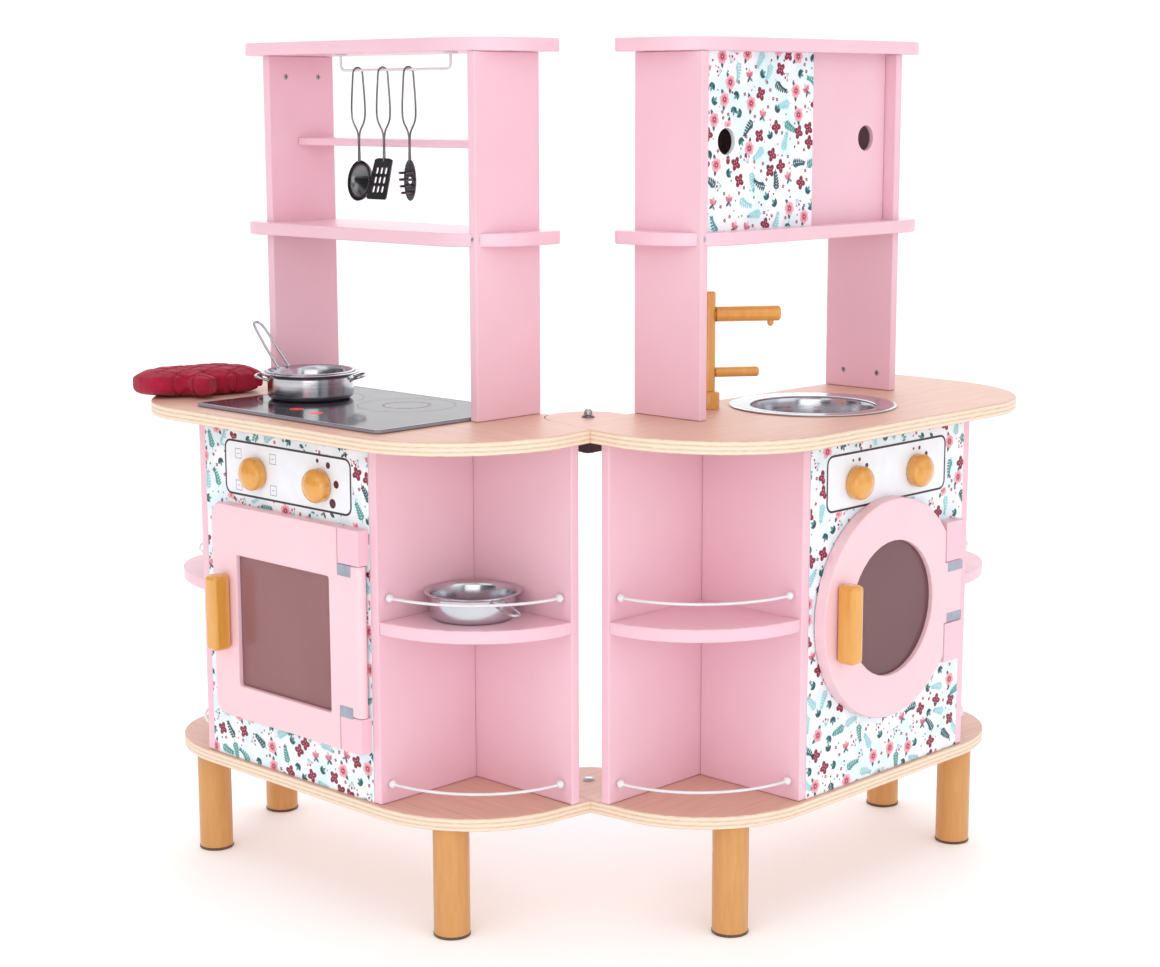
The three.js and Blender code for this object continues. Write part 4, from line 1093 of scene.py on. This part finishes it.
def screw_head(r=3.4):
    """A countersunk screw head facing +y; its crossed recess is two thin bars proud of the head, coloured with
    painted shade.
    """
    head = lathe([(0, 0), (r, 0), (r, 0.35), (r - 0.5, 0.7), (0, 0.8)], 24)
    head = moved(head, Matrix.Rotation(-math.pi / 2, 4, "X"))
    bars = []
    for w, h in ((0.45, r * 0.62), (r * 0.62, 0.45)):
        bars.append(plate([(-w, -h), (w, -h), (w, h), (-w, h)], [], 0.4, 0.86))
    faces_head = len(head[1])
    whole = merge(head, *bars)
    ids = [0] * faces_head + [1] * (len(whole[1]) - faces_head)
    return whole, ids


def screws():
    """Heads on posts, shelf ends and inside the cabinets; turn is degrees about z from +y."""
    spots = [
        ("cooker_post_a", COOKER, 420, 90, 960, 90), ("cooker_post_b", COOKER, 420, 40, 960, 90),
        ("sink_foot_a", SINK, 420, 96, 596, 90), ("sink_foot_b", SINK, 420, 44, 596, 90),
        ("oven_inside", COOKER, 415, 150, 425, 90), ("washer_inside", SINK, 415, 150, 425, 90),
    ]
    for name, unit, x, y, z, turn in spots:
        head, ids = screw_head()
        place = Matrix.Translation((x, y, z)) @ Matrix.Rotation(math.radians(turn), 4, "Z")
        # the cross bars take the painted shade of a recess
        piece(f"{name}_screw", unit.body, unit, moved(head, place), [BOLT, PAINTED_SHADE], ids)


def plugs():
    """Round caps on the rounded inner ends of the middle shelves."""
    for unit, word in ((COOKER, "cooker"), (SINK, "sink")):
        direction = math.radians(180 - 52)
        cx, cy, r = 113, 51, 80
        spot = (cx + r * math.cos(direction), cy + r * math.sin(direction), HUTCH_TOP - 7.5)
        cap = lathe([(0, -0.5), (4.6, -0.5), (4.6, 0.5), (3.8, 1.0), (0, 1.2)], 28)
        place = (Matrix.Translation(spot) @ Matrix.Rotation(direction - math.pi / 2, 4, "Z")
                 @ Matrix.Rotation(-math.pi / 2, 4, "X"))
        piece(f"{word}_shelf_cap", unit.body, unit, moved(cap, place), BOLT)


def pivot_nut():
    """A small domed nut on the dark washer of the pivot bolt."""
    dome = [(0, 0), (5.0, 0), (5.0, 2.2), *arc(0, 2.2, 5.0, 0, 78, 6)[1:], (0, 7.2)]
    part = shifted(lathe(dome, 28), 0, 0, WORKTOP_TOP + 3.1)
    piece("pivot_nut", "cooker_module", COOKER, part, BOLT)


def foot_pads():
    for unit, word in ((COOKER, "cooker"), (SINK, "sink")):
        for leg, x, y in (("outer_front", 468, 194), ("outer_back", 527, 42),
                          ("inner_front", 32, 191)):
            ring = [(19.0, 0.1), (20.9, 0.3), (21.3, 1.0), (21.3, 3.0), (20.7, 3.6), (19.0, 3.6),
                    (19.0, 0.1)]
            piece(f"{word}_{leg}_pad", unit.body, unit, shifted(lathe(ring, 40), x, y, 0), RUBBER)


def hinge_plates():
    """Grey plates let into the doors beside the hinge blocks."""
    for word, unit, x0, x1, spans in (
        ("oven", COOKER, 131, 154, ((407, 421), (243, 257))),
        ("washer", SINK, 365, 395, ((373, 385), (311, 323))),
    ):
        for k, (z0, z1) in enumerate(spans):
            form = plate(rounded(x0, x1, z0 + 0.4, z1 - 0.4, 1.2, 3), [], LEAF_FRONT - 0.4,
                         LEAF_FRONT + 0.35)
            piece(f"{word}_hinge_plate_{k}", f"{word}_door", unit, form, GREY_PLATE)


def hob_marks():
    def flat(shapes, name):
        verts, faces, ids = [], [], []
        colors = sorted({s[0] for s in shapes})
        for color, layer, points in shapes:
            area = sum(points[i - 1][0] * points[i][1] - points[i][0] * points[i - 1][1]
                       for i in range(len(points)))
            if area < 0:
                points = points[::-1]
            faces.append(tuple(range(len(verts), len(verts) + len(points))))
            verts += [(x, y, 579.3 + 0.06 * layer) for x, y in points]
            ids.append(colors.index(color))
        piece(name, "cooker_module", COOKER, (verts, faces), [INKS[c] for c in colors], ids, 0)

    def ring(x, y, r, width, color):
        made = []
        for i in range(48):
            a, b = 2 * math.pi * i / 48, 2 * math.pi * (i + 1) / 48
            made.append((color, 1, [(x + q * math.cos(t), y + q * math.sin(t)) for q, t in
                                    ((r, a), (r, b), (r - width, b), (r - width, a))]))
        return made

    shapes = ring(204, 95, 58, 0.8, "ash") + ring(*POT_AT, 64, 0.8, "ash")
    shapes += ring(204, 95, 29, 3.0, "faint")
    flat(shapes, "hob_rings")
    # Printed lamp marks whose ink has a painted glow.
    lamps = []
    for x, y in ((272, 204.5), (230.5, 209.6)):
        lamps += ring(x, y, 8.4, 2.2, "ember") + ring(x, y, 5.2, 1.6, "ember")
        lamps += dot(x, y, 2.4, "ember", 1)
    flat(lamps, "hob_lamps")
    border = [(p[0], p[1]) for p in rounded(75.6, 403.4, 22.6, 251.4, 8)]
    inner = [(p[0], p[1]) for p in rounded(79.2, 399.8, 26.2, 247.8, 6)]
    verts, faces = plate(border, [inner], 579.25, 579.45)
    turned_flat = [(x, z, y) for x, y, z in verts]
    piece("hob_border", "cooker_module", COOKER, (turned_flat, [f[::-1] for f in faces]), GREY_PLATE)


# ---------------------------------------------------------------- the quilted mitt

MITT = {"x": 499, "y": 180, "long": 176, "palm": 52, "wrist": 36, "thick": 34, "turn": 1.25}


def mitt_outline(shrink):
    long, palm, wrist = MITT["long"], MITT["palm"], MITT["wrist"]
    heel = -long * 0.2
    points = [(-long / 2 + shrink, -wrist + shrink), (heel, -palm + shrink)]
    for i in range(17):
        a = -math.pi / 2 + i / 16 * math.pi
        points.append((long / 2 - palm + (palm - shrink) * math.cos(a), (palm - shrink) * math.sin(a)))
    for i in range(13):
        a = i / 12 * math.pi
        points.append((long * 0.05 + (long * 0.14 - shrink) * math.cos(a),
                       palm - shrink + palm * 0.6 * math.sin(a)))
    points += [(heel, palm - shrink), (-long / 2 + shrink, wrist - shrink)]
    return points


def inflate(obj, cap, pressure, frames=20):
    """Swells a closed mesh with a short cloth simulation and applies the result."""
    scene = bpy.context.scene
    before = [v.co.copy() for v in obj.data.vertices]
    cloth = obj.modifiers.new("Cloth", "CLOTH")
    settings = cloth.settings
    settings.quality = 5
    settings.mass = 0.25
    settings.use_pressure = True
    settings.uniform_pressure_force = pressure
    settings.effector_weights.gravity = 0
    scene.frame_start, scene.frame_end = 1, frames
    for number in range(1, frames + 1):
        scene.frame_set(number)
    graph = bpy.context.evaluated_depsgraph_get()
    swollen = [v.co.copy() for v in obj.evaluated_get(graph).data.vertices]
    obj.modifiers.remove(cloth)
    scene.frame_set(1)
    for vertex, start, end in zip(obj.data.vertices, before, swollen):
        step = end - start
        if step.length > cap:
            step *= cap / step.length
        vertex.co = start + step


def apply_modifiers(obj):
    graph = bpy.context.evaluated_depsgraph_get()
    mesh = bpy.data.meshes.new_from_object(obj.evaluated_get(graph))
    obj.modifiers.clear()
    obj.data = mesh


def mitt():
    outline = mitt_outline(6)
    n = len(outline)
    low, high = 6.0, 26.0
    verts = [(x, y, low) for x, y in outline] + [(x, y, high) for x, y in outline]
    faces = [tuple(range(n))[::-1], tuple(range(n, 2 * n))]
    faces += [(i, (i + 1) % n, n + (i + 1) % n, n + i) for i in range(n)]
    mesh = bpy.data.meshes.new("oven_mitt_cloth")
    mesh.from_pydata([tuple(c / 1000 for c in v) for v in verts], [], faces)
    obj = bpy.data.objects.new("oven_mitt_cloth", mesh)
    bpy.context.collection.objects.link(obj)
    remesh = obj.modifiers.new("remesh", "REMESH")
    remesh.mode = "VOXEL"
    remesh.voxel_size = 0.005
    apply_modifiers(obj)
    inflate(obj, 0.0065, 4.0)
    subdivide = obj.modifiers.new("subdivide", "SUBSURF")
    subdivide.levels = subdivide.render_levels = 2
    apply_modifiers(obj)
    quilt(obj.data)
    place = (Matrix.Translation(COOKER.at(MITT["x"], MITT["y"], WORKTOP_TOP + 0.3))
             @ Matrix.Rotation(0.75 * math.pi + MITT["turn"], 4, "Z"))
    obj.data.transform(place)
    obj.data.polygons.foreach_set("use_smooth", [True] * len(obj.data.polygons))
    obj.data.materials.clear()
    obj.data.materials.append(CRIMSON_CLOTH)
    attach(obj, "oven_mitt")
    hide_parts("oven_mitt")


def quilt(mesh):
    """Sews diamond channels into both faces, flattens the wrist's hem and adds soft creases."""
    spacing, groove = 0.024, 0.0032
    long = MITT["long"] / 1000
    mesh.update()
    normals = [v.normal.copy() for v in mesh.vertices]
    for vertex, normal in zip(mesh.vertices, normals):
        x, y, z = vertex.co
        depth = 0.0
        if x > -long / 2 + 0.016 and x < long / 2 - 0.03:
            for u in (x + y, x - y):
                off = abs((u / (spacing * 1.41) + 0.5) % 1.0 - 0.5) * spacing
                depth = max(depth, math.exp(-(off / 0.0016) ** 2))
        hem = math.exp(-((x + long / 2 - 0.016) / 0.0012) ** 2)
        depth = max(depth, hem)
        crease = noise.noise(Vector((x * 28, y * 28, z * 28))) * 0.0014
        crease += noise.noise(Vector((x * 70, y * 70, z * 70))) * 0.0005
        move = normal * (crease - depth * groove)
        vertex.co += move
        if vertex.co.z < 0.0002:
            vertex.co.z = 0.0002
    top = max(v.co.z for v in mesh.vertices)
    for vertex in mesh.vertices:
        vertex.co.z *= min(1.0, (MITT["thick"] - 0.4) / 1000 / top)


# ---------------------------------------------------------------- build

studio()
camera()
finishes()
print_everywhere()
control_panels()
knobs()
pans()
sink_bowl()
utensils()
utensil_rail()
shelf_rails()
screws()
plugs()
pivot_nut()
foot_pads()
hinge_plates()
hob_marks()
mitt()
